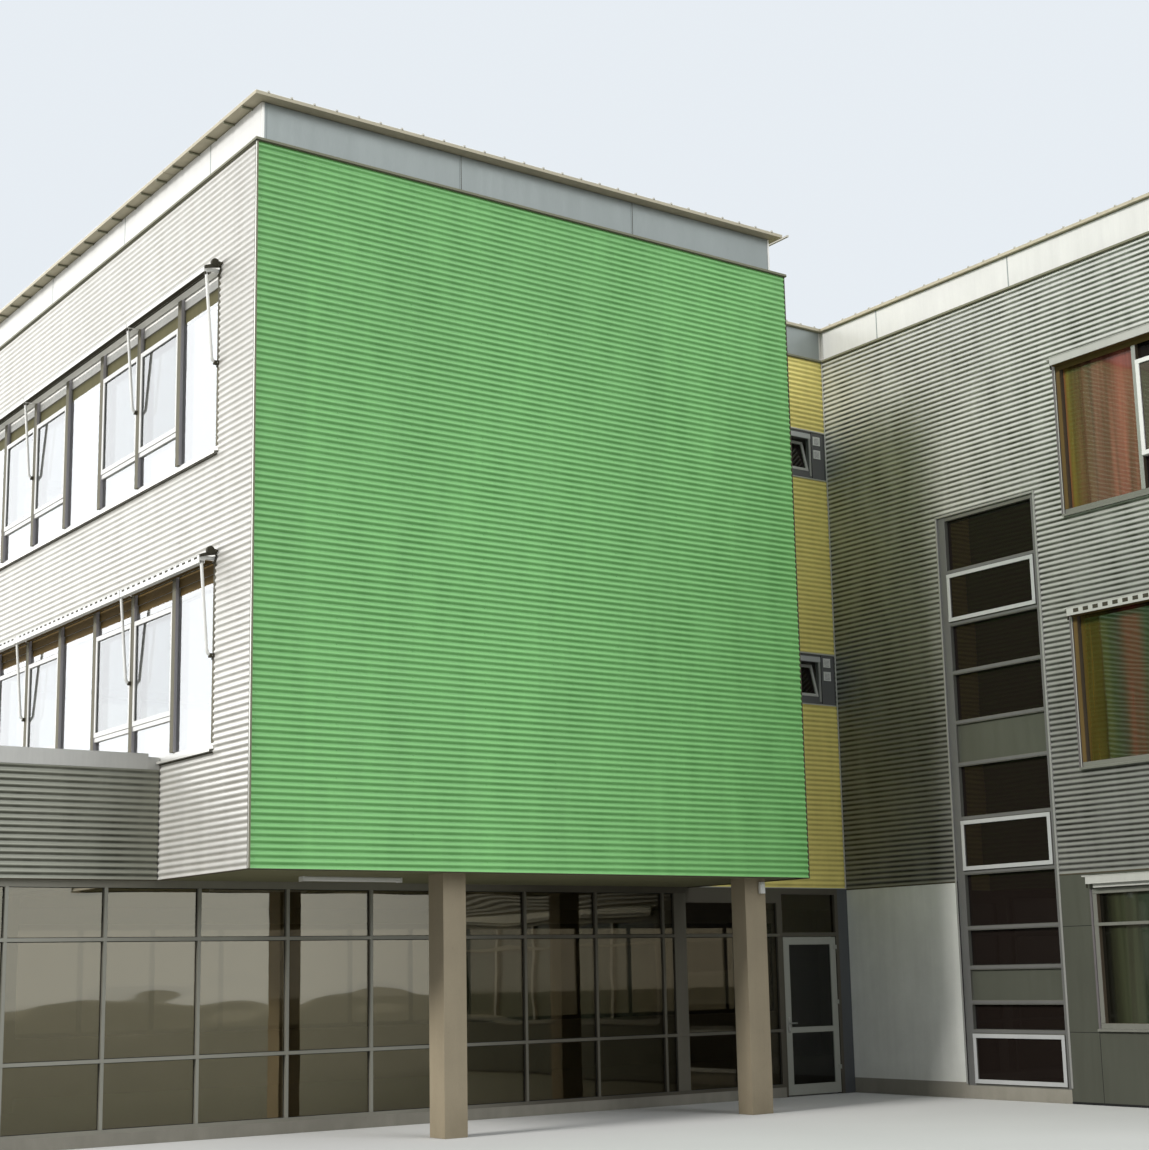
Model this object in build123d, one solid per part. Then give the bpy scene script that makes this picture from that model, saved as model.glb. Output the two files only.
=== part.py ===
"""School building: an L of three storeys with a coloured box that stands out over a terrace.

Lengths are millimetres. The pieces are laid out from the front left corner of the green box at
ground level: X runs right along the green wall, Y runs back, Z runs up. A last step moves them
all, so that the origin is at the centre of the building's footprint.
"""
from build123d import *
import os

# Levels
COVER_Z = 3020
SHEET_HEIGHT = 8400
CLAD_TOP = COVER_Z + SHEET_HEIGHT
STOREY = 3500
FLOOR_RISE = 500
FIRST_FLOOR = COVER_Z + FLOOR_RISE
SILL_HEIGHT = 900
FIRST_SILL = FIRST_FLOOR + SILL_HEIGHT
WINDOW_HEIGHT = 2190
FASCIA_HEIGHT = 550
FASCIA_TOP = CLAD_TOP + FASCIA_HEIGHT

# Plan of the three storeys
BOX_WIDTH = 8160
BOX_DEPTH = 2570
MAIN_WIDTH = 19240
MAIN_BACK = 11900
WING_LEFT = 11240
WING_FRONT = -9400

# Annex of one storey, left of the main body
ANNEX_STEP = 140
ANNEX_FRONT = BOX_DEPTH - ANNEX_STEP
ANNEX_DEPTH = 6000
ANNEX_BACK = ANNEX_FRONT + ANNEX_DEPTH
ANNEX_HEAD = 1490
ANNEX_TOP = COVER_Z + ANNEX_HEAD
ANNEX_CAP = 190
ANNEX_ROOF_RECESS = 100
CAP_OUT = 10
CAP_END = 150
CAP_STEP = 40

# Walls and slabs
WALL = 300
CLAD = 40
SLAB = 300
GROUND_SLAB = 60
CEILING_DROP = 300
CEILING_Z = FIRST_FLOOR + 2 * STOREY - CEILING_DROP
CEILING = 280
JOINT = 10
SEAM = 3
PLINTH = 220
PLINTH_PROUD = 20

# Corrugated sheets, with the strips at their corners and the ledge over them
WAVE_PITCH = 76
WAVE_DEPTH = 18
WAVE_FORM = ((0, 0), (0.5, 1))
CORNER_STRIP = CLAD
LEDGE_HEIGHT = 40
LEDGE_PROUD = 20

# Roof: fascia panels set back over the ledge, and a thin eave on an edge beam
FASCIA_SETBACK = 110
FASCIA_SIDE_SETBACK = 175
FASCIA_THICK = 60
EAVE_GAP = 10
EAVE_THICK = 40
EAVE_OUT = 45
EAVE_COURT = -50
ROOF_SLAB = 200
EDGE_BEAM = 170
ROOF_BASE = FASCIA_TOP + EAVE_GAP
ROOF_TOP = ROOF_BASE + EAVE_THICK

# Ribbon windows
BAY = 1260
MULLION = 70
FRAME_DEPTH = 60
FRAME_SETBACK = 20
GLASS = 24
RAIL = 70
HEAD_RAIL = 90
LEFT_HEAD_PANEL = 330
LEFT_HEAD_RAIL = 140
HEAD_RAIL_RECESS = 25
HEAD_PANEL_RECESS = 40
END_PIER = 900
LEFT_BAND_START = 970
LEFT_FIRST_BAY = 1110
WING_BAND_START = -2120
WING_FIRST_BAY = 1320
REAR_PIER = 1400
RIGHT_PIER = 1190
GROUND_BAND = (980, 2800)
SASH_SILL = 520
SASH_HEIGHT = 1320
SASH_PROUD = 25
SASH_RAIL = 60

# Terrace door
DOOR_WIDTH = 1071
DOOR_TO_WING = 264
DOOR_RIGHT = WING_LEFT - DOOR_TO_WING
DOOR_LEFT = DOOR_RIGHT - DOOR_WIDTH
DOOR_TOP = 2300
DOOR_THICK = 55
DOOR_STILE = 110
DOOR_BOTTOM_RAIL = 150
DOOR_RAIL = 80
DOOR_SIDE_GAP = 8
DOOR_HINGE_GAP = 16
DOOR_BOTTOM_GAP = 20
DOOR_SETBACK = 5
DOOR_GLASS_INSET = 16
FRAME_POST = 60
DOOR_HEAD_TOP = DOOR_TOP + DOOR_SIDE_GAP + FRAME_POST
DOOR_FRAME_TOP = 90
OVERLIGHT_INSET = 45
KNUCKLE_RADIUS = 9
KNUCKLE_LENGTH = 60
KNUCKLE_GAP = 0.3
HINGE_SIDE = 6
HINGE_PROUD = 12
HINGE_PLATE = 40
HINGE_PLATE_THICK = 4
HINGE_FOOT = 10
HINGE_LEVELS = (300, 1250, 2060)
HANDLE_LEVEL = 1050
HANDLE_OUT = 45
HANDLE_RADIUS = 11
HANDLE_LENGTH = 130
HANDLE_NECK = 18
HANDLE_PLATE = (40, 8, 220)

# Ground floor glazing behind the terrace
GLAZING_PROUD = 20
GLAZING_Y = BOX_DEPTH - GLAZING_PROUD
GLAZING_DEPTH = 110
GLAZING_FACE = 40
GLAZING_BAY = 1178
GLAZING_MULLION = 44
GLAZING_FIRST = 600
GLAZING_LEFT_BAYS = 5
SILL_TOP = 140
LOW_TRANSOM = 950
HIGH_TRANSOM_DROP = 690
HIGH_TRANSOM = COVER_Z - HIGH_TRANSOM_DROP
GLAZING_HEAD_DROP = 90
GLAZING_HEAD = COVER_Z - GLAZING_HEAD_DROP
LINTEL = 130
POST_WIDTH = 220
POST_INSET = 300
POST_LEFT = BOX_WIDTH - POST_INSET
POST_RIGHT = POST_LEFT + POST_WIDTH
SIDE_MULLION = (POST_RIGHT + DOOR_LEFT) / 2
GLAZING_RIGHT_BAYS = int((POST_LEFT - GLAZING_FIRST) / GLAZING_BAY)

# Stair window
STAIR_FAR = 270
STAIR_NEAR = -1570
STAIR_SILL = 180
STAIR_HEAD = 8350
STAIR_TRIM = 140
STAIR_RAIL = 60
STAIR_LEVELS = (920, 1320, 1800, 2350, 3130, 3900, 4680, 5290, 6020, 6740, 7510)
STAIR_SASHES = ((180, 920), (3130, 3900), (6740, 7510))
STAIR_PANELS = ((1320, 1800), (4680, 5290))
STAIR_PANEL_INSET = 35

# Window units in the yellow wall, each with a sash tilted inwards at the top
UNIT_LEFT = 9500
UNIT_LEVELS = ((5830, 6650), (9440, 10250))
UNIT_POST = 70
UNIT_BOTTOM_RAIL = 130
UNIT_TOP_RAIL = 145
UNIT_PANEL_WIDTH = 345
UNIT_OPENING_RIGHT = WING_LEFT - UNIT_PANEL_WIDTH
UNIT_SASH_RAIL = 45
UNIT_SASH_THICK = 40
UNIT_SASH_GAP = 6
UNIT_PANE = 10
UNIT_TILT = 14

# Columns: left edge, width, depth
COLUMN_FRONT = 330
COLUMN_INSET = 860
COLUMNS = ((2660, 310, 330), (BOX_WIDTH - COLUMN_INSET, 350, 280))

# Awnings
ARM_RADIUS = 16
ARM_SIDES = 8
ARM_FOOT = 1070
ARM_OUT = 80
ARM_TIP_OUT = 165
ARM_BEND = 40
BAR = 70
BAR_OUT = 200
BAR_DEPTH = 70
BAR_RISE = 50
BAR_GAP = 20
BRACKET = 30
BRACKET_HEIGHT = 40
COURT_CASSETTE_OUT = 110
COURT_CASSETTE_LEVELS = ((2860, 2970), (6480, 6600), (10040, 10160))
DRIP_START = 80
DRIP_HEIGHT = 50
DRIP_OUT = 60

X_LEFT = GLAZING_FIRST - GLAZING_LEFT_BAYS * GLAZING_BAY - WALL
CENTRE_X = (X_LEFT - CAP_OUT + MAIN_WIDTH + EAVE_OUT) / 2
CENTRE_Y = (WING_FRONT + MAIN_BACK) / 2
PARTS = {}


def block(x, y, z):
    """A box from three (low, high) pairs."""
    size = [high - low for low, high in (x, y, z)]
    middle = [(high + low) / 2 for low, high in (x, y, z)]
    return Pos(*middle) * Box(*size)


def add(name, *solids):
    """Keep the solids as one named piece, moved so that the origin is at the footprint's centre."""
    moved = [Pos(-CENTRE_X, -CENTRE_Y, 0) * solid for solid in solids]
    PARTS[name] = moved[0] if len(moved) == 1 else Compound(children=moved)


def fused(solids):
    """The solids joined to one."""
    first, *rest = solids
    return first.fuse(*rest).clean() if rest else first


def sill_levels(storeys=(0, 1)):
    """Bottom and top of the upper windows, storey by storey."""
    return [(FIRST_SILL + n * STOREY, FIRST_SILL + n * STOREY + WINDOW_HEIGHT) for n in storeys]


def band_edges(start, first_bay, bays, step):
    """Where a ribbon window's posts stand along its wall, with step +1 or -1 for the way it runs."""
    edges = [start, start + step * first_bay]
    edges += [edges[1] + step * BAY * n for n in range(1, bays)]
    return edges


def bays_between(length, first_bay):
    """How many bays fit in a wall's length: the first one, and as many whole ones as follow it."""
    return 1 + int((length - first_bay) / BAY)


LEFT_BAYS = bays_between(MAIN_BACK - LEFT_BAND_START - END_PIER, LEFT_FIRST_BAY)
LEFT_EDGES = band_edges(LEFT_BAND_START, LEFT_FIRST_BAY, LEFT_BAYS, 1)
WING_BAYS = bays_between(WING_BAND_START - WING_FRONT - END_PIER, WING_FIRST_BAY)
WING_EDGES = band_edges(WING_BAND_START, WING_FIRST_BAY, WING_BAYS, -1)
REAR_BAYS = bays_between(MAIN_WIDTH - 2 * REAR_PIER, BAY)
REAR_START = (MAIN_WIDTH - REAR_BAYS * BAY) / 2
REAR_EDGES = band_edges(REAR_START, BAY, REAR_BAYS, 1)
RIGHT_BAYS = bays_between(MAIN_BACK - WING_FRONT - 2 * RIGHT_PIER, BAY)
RIGHT_START = (WING_FRONT + MAIN_BACK - RIGHT_BAYS * BAY) / 2
RIGHT_EDGES = band_edges(RIGHT_START, BAY, RIGHT_BAYS, 1)


def span(edges):
    return min(edges), max(edges)


def holes(edges, levels, depth, along):
    """Blocks that cut a ribbon window's openings through a wall."""
    low, high = span(edges)
    if along == "y":
        return [block(depth, (low, high), z) for z in levels]
    return [block((low, high), depth, z) for z in levels]


def cut(solid, tools):
    return solid.cut(*tools) if tools else solid


def floor_slabs():
    """One slab a level for the main body, the wing and the box, with movement joints between."""
    inner_left = CLAD + WALL
    inner_right = MAIN_WIDTH - CLAD - WALL
    inner_back = MAIN_BACK - CLAD - WALL
    main_front = BOX_DEPTH + CLAD + WALL + 2 * JOINT
    main = ((inner_left, inner_right), (main_front, inner_back))
    wing = ((WING_LEFT + CLAD + WALL, inner_right),
            (WING_FRONT + CLAD + WALL, main_front - JOINT))
    box = ((inner_left, BOX_WIDTH - CLAD - WALL), (CLAD + WALL, main_front - JOINT))
    room_front = GLAZING_Y + GLAZING_DEPTH + GLASS
    annex = ((X_LEFT + WALL, inner_left - JOINT), (room_front, ANNEX_BACK - WALL))
    ground = (0, GROUND_SLAB)
    terrace_room = ((inner_left, WING_LEFT + CLAD + WALL - JOINT),
                    (room_front, main_front - JOINT))
    add("ground_floor_slabs", block(*main, ground), block(*wing, ground), block(*annex, ground),
        block(*terrace_room, ground))
    lower = (COVER_Z + CLAD, FIRST_FLOOR)
    upper = (FIRST_FLOOR + STOREY - SLAB, FIRST_FLOOR + STOREY)
    ceiling = (CEILING_Z, CEILING_Z + CEILING)
    add("first_floor_slabs", *[block(*plan, lower) for plan in (main, wing, box)])
    add("upper_slabs", *[block(*plan, z) for plan in (main, wing, box) for z in (upper, ceiling)])


def plan_blocks(out, box_right, court, box_back, z):
    """Main body, box and wing grown by out, with their own growth to the box's right and the court."""
    main = block((-out, MAIN_WIDTH + out), (BOX_DEPTH - court, MAIN_BACK + out), z)
    box = block((-out, BOX_WIDTH + box_right), (-out, box_back), z)
    wing = block((WING_LEFT - court, MAIN_WIDTH + out), (WING_FRONT - out, box_back), z)
    return [main, box, wing]


def roof():
    """Roof of each part of the building: a thin eave on a slab with edge beams, and movement joints."""
    inset = FASCIA_SETBACK + FASCIA_THICK + SEAM
    box_inset = FASCIA_SIDE_SETBACK + FASCIA_THICK + SEAM
    back = BOX_DEPTH - EAVE_COURT - JOINT
    eaves = plan_blocks(EAVE_OUT, EAVE_COURT, EAVE_COURT, back, (ROOF_BASE, ROOF_TOP))
    bodies = plan_blocks(-inset, -box_inset, -inset, back, (CLAD_TOP, ROOF_BASE))
    inset += EDGE_BEAM
    box_inset += EDGE_BEAM
    under = (CLAD_TOP, ROOF_BASE - ROOF_SLAB)
    hollows = plan_blocks(-inset, -box_inset, -inset, back - EDGE_BEAM, under)
    add("roof_plates",
        *[fused([eave, body.cut(hollow)]) for eave, body, hollow in zip(eaves, bodies, hollows)])


def fascia_panels():
    """Smooth panels set back over the ledge, each between two corners of the outline."""
    z = (CLAD_TOP, FASCIA_TOP)
    s = FASCIA_SETBACK
    t = FASCIA_THICK
    front = BOX_DEPTH + s
    box_right = BOX_WIDTH - FASCIA_SIDE_SETBACK
    add("fascia_panels",
        block((s, s + t), (s, MAIN_BACK - s), z),
        block((s + t + SEAM, box_right), (s, s + t), z),
        block((box_right - t, box_right), (s + t + SEAM, front - SEAM), z),
        block((box_right - t, WING_LEFT + s + t), (front, front + t), z),
        block((WING_LEFT + s, WING_LEFT + s + t), (WING_FRONT + s, front - SEAM), z),
        block((WING_LEFT + s + t + SEAM, MAIN_WIDTH - s), (WING_FRONT + s, WING_FRONT + s + t), z),
        block((MAIN_WIDTH - s - t, MAIN_WIDTH - s), (WING_FRONT + s + t + SEAM, MAIN_BACK - s), z),
        block((s + t + SEAM, MAIN_WIDTH - s - t - SEAM), (MAIN_BACK - s - t, MAIN_BACK - s), z))


def upper_walls():
    """Walls behind the corrugated sheets, except on the court."""
    z = (COVER_Z + CLAD, CLAD_TOP)
    left = (CLAD, CLAD + WALL)
    front = (CLAD, CLAD + WALL)
    back = (MAIN_BACK - CLAD - WALL, MAIN_BACK - CLAD)
    right = (MAIN_WIDTH - CLAD - WALL, MAIN_WIDTH - CLAD)
    yellow = (BOX_DEPTH + CLAD, BOX_DEPTH + CLAD + WALL)
    wing_inside = WING_LEFT + CLAD + WALL
    box_right = (BOX_WIDTH - CLAD - WALL, BOX_WIDTH - CLAD)
    both = sill_levels()
    add("box_walls", fused([block((left[1], BOX_WIDTH - CLAD), front, z),
                            block(box_right, (front[1], yellow[1]), z)]))
    left_wall = block(left, (CLAD, MAIN_BACK - CLAD), z)
    ground = [block(x, (ANNEX_BACK - WALL, MAIN_BACK - CLAD), level)
              for x, level in (((0, left[1]), (0, COVER_Z)), (left, (COVER_Z, z[0])))]
    add("left_wall", fused([cut(left_wall, holes(LEFT_EDGES, both, left, "y"))] + ground))
    yellow_wall = block((BOX_WIDTH - CLAD, wing_inside), yellow, (COVER_Z, CLAD_TOP))
    unit_x = (UNIT_LEFT, WING_LEFT)
    add("yellow_wall", cut(yellow_wall, [block(unit_x, yellow, level) for level in UNIT_LEVELS]))
    all_levels = both + [GROUND_BAND]
    rear_wall = block((left[1], right[0]), back, (0, CLAD_TOP))
    add("rear_wall", cut(rear_wall, holes(REAR_EDGES, all_levels, back, "x")))
    right_wall = block(right, (WING_FRONT + CLAD, MAIN_BACK - CLAD), (0, CLAD_TOP))
    add("right_wall", cut(right_wall, holes(RIGHT_EDGES, all_levels, right, "y")))
    wing_front = (WING_FRONT + CLAD, WING_FRONT + CLAD + WALL)
    add("wing_front_wall", block((WING_LEFT + CLAD, right[0]), wing_front, (0, CLAD_TOP)))


def court_wall():
    """The wing's wall on the court, cut for the stair window, the ribbons and the ground floor window."""
    x = (WING_LEFT + CLAD, WING_LEFT + CLAD + WALL)
    wall = block(x, (WING_FRONT + CLAD + WALL, BOX_DEPTH + CLAD), (0, CLAD_TOP))
    tools = holes(WING_EDGES, sill_levels() + [GROUND_BAND], x, "y")
    tools.append(block(x, (STAIR_NEAR, STAIR_FAR), (STAIR_SILL, STAIR_HEAD)))
    add("court_wall", cut(wall, tools))


def wave_line(bottom, top):
    """Depth and height of the sheet's crests and troughs, upwards from its lower edge."""
    line = []
    for n in range(int((top - bottom) / WAVE_PITCH) + 1):
        for share, deep in WAVE_FORM:
            height = bottom + (n + share) * WAVE_PITCH
            if height < top - WAVE_PITCH / 4:
                line.append((deep * WAVE_DEPTH, height))
    line.append((WAVE_DEPTH / 2, top))
    return line


def sheet(along, face, inward, run, z, windows=()):
    """A corrugated sheet with level waves. Its crests lie on the plane at face, and inward is the
    sign of the way into the building. windows are pairs of an extent along the wall and a height."""
    line = wave_line(*z) + [(CLAD, z[1]), (CLAD, z[0])]
    start, end = run
    if along == "x":
        corners = [Vector(start, face + inward * deep, height) for deep, height in line]
        way = (1, 0, 0)
    else:
        corners = [Vector(face + inward * deep, start, height) for deep, height in line]
        way = (0, 1, 0)
    body = extrude(Face(Wire.make_polygon(corners, close=True)), amount=end - start, dir=way)
    reach = (face - CLAD, face + CLAD)
    if along == "x":
        return cut(body, [block(extent, reach, height) for extent, height in windows])
    return cut(body, [block(reach, extent, height) for extent, height in windows])


def cladding():
    """The sheets between the strips at the outer corners: corrugated where the front and the court
    show them, and flat slabs on the rear, the right and the wing's front."""
    z = (COVER_Z, CLAD_TOP)
    both = sill_levels()
    strip = CORNER_STRIP + SEAM
    court_edge = BOX_DEPTH + CLAD
    wing_front = WING_FRONT + strip
    left_windows = [(span(LEFT_EDGES), level) for level in both]
    court_windows = [(span(WING_EDGES), level) for level in both]
    court_windows.append(((STAIR_NEAR, STAIR_FAR), (COVER_Z - CLAD, STAIR_HEAD)))
    units = [((UNIT_LEFT, WING_LEFT), level) for level in UNIT_LEVELS]
    add("green_cladding",
        sheet("x", 0, 1, (strip, BOX_WIDTH - strip), z),
        sheet("y", BOX_WIDTH, -1, (strip, court_edge), z))
    add("left_cladding", sheet("y", 0, 1, (strip, MAIN_BACK - strip), z, left_windows))
    add("yellow_cladding",
        sheet("x", BOX_DEPTH, 1, (BOX_WIDTH + SEAM, WING_LEFT - SEAM), z, units))
    add("court_cladding", sheet("y", WING_LEFT, 1, (wing_front, court_edge), z, court_windows))
    rear = (MAIN_BACK - CLAD, MAIN_BACK)
    right = (MAIN_WIDTH - CLAD, MAIN_WIDTH)
    add("outer_cladding",
        cut(block((strip, MAIN_WIDTH - strip), rear, z), holes(REAR_EDGES, both, rear, "x")),
        cut(block(right, (wing_front, MAIN_BACK - strip), z), holes(RIGHT_EDGES, both, right, "y")),
        block((WING_LEFT + strip, MAIN_WIDTH - strip), (WING_FRONT, WING_FRONT + CLAD), z))


def cladding_trims():
    """Upright strips at the outer corners, and the ledge that closes the sheets at the top."""
    ledge = (CLAD_TOP, CLAD_TOP + LEDGE_HEIGHT)
    inner = SEAM - FASCIA_SETBACK
    outline = fused(plan_blocks(LEDGE_PROUD, LEDGE_PROUD, LEDGE_PROUD, BOX_DEPTH + WALL, ledge))
    inside = plan_blocks(inner, SEAM - FASCIA_SIDE_SETBACK, inner, BOX_DEPTH + WALL, ledge)
    strips = []
    z = (COVER_Z, CLAD_TOP - SEAM)
    corners = ((0, 0, 1, 1), (BOX_WIDTH, 0, -1, 1), (0, MAIN_BACK, 1, -1), (MAIN_WIDTH, MAIN_BACK, -1, -1),
               (WING_LEFT, WING_FRONT, 1, 1), (MAIN_WIDTH, WING_FRONT, -1, 1))
    for x, y, right, back in corners:
        strips.append(block(sorted((x, x + right * CORNER_STRIP)), sorted((y, y + back * CORNER_STRIP)), z))
    add("cladding_trims", outline.cut(*inside), *strips)


def annex():
    """Walls and roof of the annex, the cap on them, and the sheets that hang from the cap."""
    z = (0, ANNEX_TOP - ANNEX_CAP)
    left = (X_LEFT + CLAD, X_LEFT + WALL)
    back = (ANNEX_BACK - WALL, ANNEX_BACK - CLAD)
    front_y = (ANNEX_FRONT + CLAD, ANNEX_FRONT + WALL)
    add("annex_walls", fused([block(left, (ANNEX_FRONT + CLAD, ANNEX_BACK - CLAD), z),
                              block((left[1], 0), back, z),
                              block((left[1], 0), front_y, (COVER_Z, z[1]))]))
    roof_top = z[1] - ANNEX_ROOF_RECESS
    add("annex_roof", block((left[1], 0), (front_y[1], back[0]), (roof_top - SLAB, roof_top)))
    cap_z = (ANNEX_TOP - ANNEX_CAP, ANNEX_TOP)
    out = CAP_OUT
    outer = (X_LEFT - out, ANNEX_FRONT - out, ANNEX_BACK + out)
    add("annex_cap", fused([
        block((outer[0], -CAP_END), (outer[1], front_y[1] + out), cap_z),
        block((outer[0], left[1] + out), (outer[1], outer[2]), cap_z),
        block((outer[0], 0), (back[0] - out, outer[2]), cap_z),
        block((-CAP_END, 0), (ANNEX_FRONT + out, front_y[1]), (cap_z[0], cap_z[1] - CAP_STEP))]))
    sheet_z = (COVER_Z, z[1])
    strip = CORNER_STRIP + SEAM
    add("annex_cladding",
        sheet("x", ANNEX_FRONT, 1, (X_LEFT + strip, 0), sheet_z),
        sheet("y", X_LEFT, 1, (ANNEX_FRONT + strip, ANNEX_BACK - strip), sheet_z),
        sheet("x", ANNEX_BACK, -1, (X_LEFT + strip, 0), sheet_z),
        block((X_LEFT, X_LEFT + CORNER_STRIP), (ANNEX_FRONT, ANNEX_FRONT + CORNER_STRIP), sheet_z),
        block((X_LEFT, X_LEFT + CORNER_STRIP), (ANNEX_BACK - CORNER_STRIP, ANNEX_BACK), sheet_z))


def ribbon_frame(edges, level, place, sashes, head=((HEAD_RAIL, 0),)):
    """One ribbon window's frame. place(u, d, z) turns along, depth and height pairs into a block, and
    head lists the height and the setback of the bands that close its top."""
    low, high = span(edges)
    bottom, top = level
    depth = (0, FRAME_DEPTH)
    half = MULLION / 2
    rails = [place((low, high), depth, (bottom, bottom + RAIL))]
    rails += [place((low, high), (setback, FRAME_DEPTH), (top - height, top)) for height, setback in head]
    posts = [place((e - half, e + half), depth, (bottom, top)) for e in edges[1:-1]]
    posts += [place((low, low + MULLION), depth, (bottom, top)),
              place((high - MULLION, high), depth, (bottom, top))]
    bays = list(zip(edges[:-1], edges[1:]))
    rings = []
    for n in sashes:
        near, far = sorted(bays[n])
        near += MULLION if near == low else half
        far -= MULLION if far == high else half
        base = bottom + SASH_SILL
        peak = base + SASH_HEIGHT
        outer = place((near, far), (-SASH_PROUD, FRAME_DEPTH), (base, peak))
        inner = place((near + SASH_RAIL, far - SASH_RAIL), (-SASH_PROUD, FRAME_DEPTH),
                      (base + SASH_RAIL, peak - SASH_RAIL))
        rings.append(outer.cut(inner))
    return fused(rails + posts + rings)


def on_left_wall(u, d, z):
    return block((FRAME_SETBACK + d[0], FRAME_SETBACK + d[1]), u, z)


def on_court_wall(u, d, z):
    face = WING_LEFT + FRAME_SETBACK
    return block((face + d[0], face + d[1]), u, z)


def on_right_wall(u, d, z):
    face = MAIN_WIDTH - FRAME_SETBACK
    return block((face - d[1], face - d[0]), u, z)


def on_rear_wall(u, d, z):
    face = MAIN_BACK - FRAME_SETBACK
    return block(u, (face - d[1], face - d[0]), z)


def ribbon_glass(edges, level, place):
    low, high = span(edges)
    return place((low, high), (FRAME_DEPTH, FRAME_DEPTH + GLASS), level)


def ribbon_windows():
    """Frames and glass of all ribbon windows, and the glass of the stair window and the tilted sashes."""
    both = sill_levels()
    left_head = ((LEFT_HEAD_PANEL, HEAD_PANEL_RECESS), (LEFT_HEAD_RAIL, HEAD_RAIL_RECESS))
    add("left_window_frames",
        *[ribbon_frame(LEFT_EDGES, level, on_left_wall, sash_bays(LEFT_BAYS), left_head) for level in both])
    add("left_window_glass", *[ribbon_glass(LEFT_EDGES, level, on_left_wall) for level in both])
    court_levels = both + [GROUND_BAND]
    add("court_window_frames",
        *[ribbon_frame(WING_EDGES, level, on_court_wall, sash_bays(WING_BAYS)) for level in both],
        ground_window_frame())
    stair_glass = on_court_wall((STAIR_NEAR, STAIR_FAR), (FRAME_DEPTH, FRAME_DEPTH + GLASS),
                                (STAIR_SILL, STAIR_HEAD))
    unit_panes = [unit_sash(level)[1] for level in UNIT_LEVELS]
    add("court_window_glass",
        *[ribbon_glass(WING_EDGES, level, on_court_wall) for level in court_levels],
        stair_glass, *unit_panes)
    outer = [(REAR_EDGES, on_rear_wall), (RIGHT_EDGES, on_right_wall)]
    add("outer_window_frames",
        *[ribbon_frame(edges, level, place, ()) for edges, place in outer for level in court_levels])
    add("outer_window_glass",
        *[ribbon_glass(edges, level, place) for edges, place in outer for level in court_levels])


def sash_bays(bays):
    """The bays with an opening sash: two follow each fixed one."""
    return [n for n in range(bays) if n % 3]


def ground_window_frame():
    """The wing's ground floor window: posts as above, with one high transom."""
    low, high = span(WING_EDGES)
    bottom, top = GROUND_BAND
    depth = (0, FRAME_DEPTH)
    half = MULLION / 2
    rails = [on_court_wall((low, high), depth, (bottom, bottom + RAIL)),
             on_court_wall((low, high), depth, (top - RAIL, top)),
             on_court_wall((low, high), depth,
                           (HIGH_TRANSOM - GLAZING_MULLION / 2, HIGH_TRANSOM + GLAZING_MULLION / 2))]
    posts = [on_court_wall((e - half, e + half), depth, (bottom, top)) for e in WING_EDGES[1:-1]]
    posts += [on_court_wall((low, low + MULLION), depth, (bottom, top)),
              on_court_wall((high - MULLION, high), depth, (bottom, top))]
    return fused(rails + posts)


def stair_window():
    """The tall frame of the stair window, with its proud sashes, and the closed panels in it."""
    depth = (0, FRAME_DEPTH)
    glazed_far = STAIR_FAR - STAIR_TRIM
    pieces = [on_court_wall((glazed_far, STAIR_FAR), depth, (STAIR_SILL, STAIR_HEAD)),
              on_court_wall((STAIR_NEAR, STAIR_NEAR + STAIR_RAIL), depth, (STAIR_SILL, STAIR_HEAD)),
              on_court_wall((STAIR_NEAR, STAIR_FAR), depth, (STAIR_SILL, STAIR_SILL + STAIR_RAIL)),
              on_court_wall((STAIR_NEAR, STAIR_FAR), depth, (STAIR_HEAD - STAIR_RAIL, STAIR_HEAD))]
    half = STAIR_RAIL / 2
    pieces += [on_court_wall((STAIR_NEAR, glazed_far), depth, (z - half, z + half)) for z in STAIR_LEVELS]
    for bottom, top in STAIR_SASHES:
        near = STAIR_NEAR + STAIR_RAIL
        far = glazed_far
        outer = on_court_wall((near, far), (-SASH_PROUD, FRAME_DEPTH), (bottom + half, top - half))
        inner = on_court_wall((near + SASH_RAIL, far - SASH_RAIL), (-SASH_PROUD, FRAME_DEPTH),
                              (bottom + half + SASH_RAIL, top - half - SASH_RAIL))
        pieces.append(outer.cut(inner))
    add("stair_window_frame", fused(pieces))
    inset = (STAIR_PANEL_INSET, FRAME_DEPTH)
    add("stair_window_panels",
        *[on_court_wall((STAIR_NEAR + STAIR_RAIL, glazed_far), inset, (bottom + half, top - half))
          for bottom, top in STAIR_PANELS])


def unit_sash(level):
    """The sash of a window unit and its pane. It stands on the unit's rail, its top leaning inwards."""
    left = UNIT_LEFT + UNIT_POST + UNIT_SASH_GAP
    right = UNIT_OPENING_RIGHT - UNIT_SASH_GAP
    bottom = level[0] + UNIT_BOTTOM_RAIL
    height = level[1] - UNIT_TOP_RAIL - bottom - 2 * UNIT_SASH_GAP
    back = BOX_DEPTH + FRAME_SETBACK + UNIT_SASH_GAP + UNIT_SASH_THICK
    rail = UNIT_SASH_RAIL
    whole = block((left, right), (-UNIT_SASH_THICK, 0), (0, height))
    opening = ((left + rail, right - rail), (rail, height - rail))
    ring = whole.cut(block(opening[0], (-UNIT_SASH_THICK, 0), opening[1]))
    pane = block(opening[0], (-UNIT_SASH_THICK / 2, UNIT_PANE - UNIT_SASH_THICK / 2), opening[1])
    lean = Pos(0, back, bottom) * Rot(-UNIT_TILT, 0, 0)
    return lean * ring, lean * pane


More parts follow.
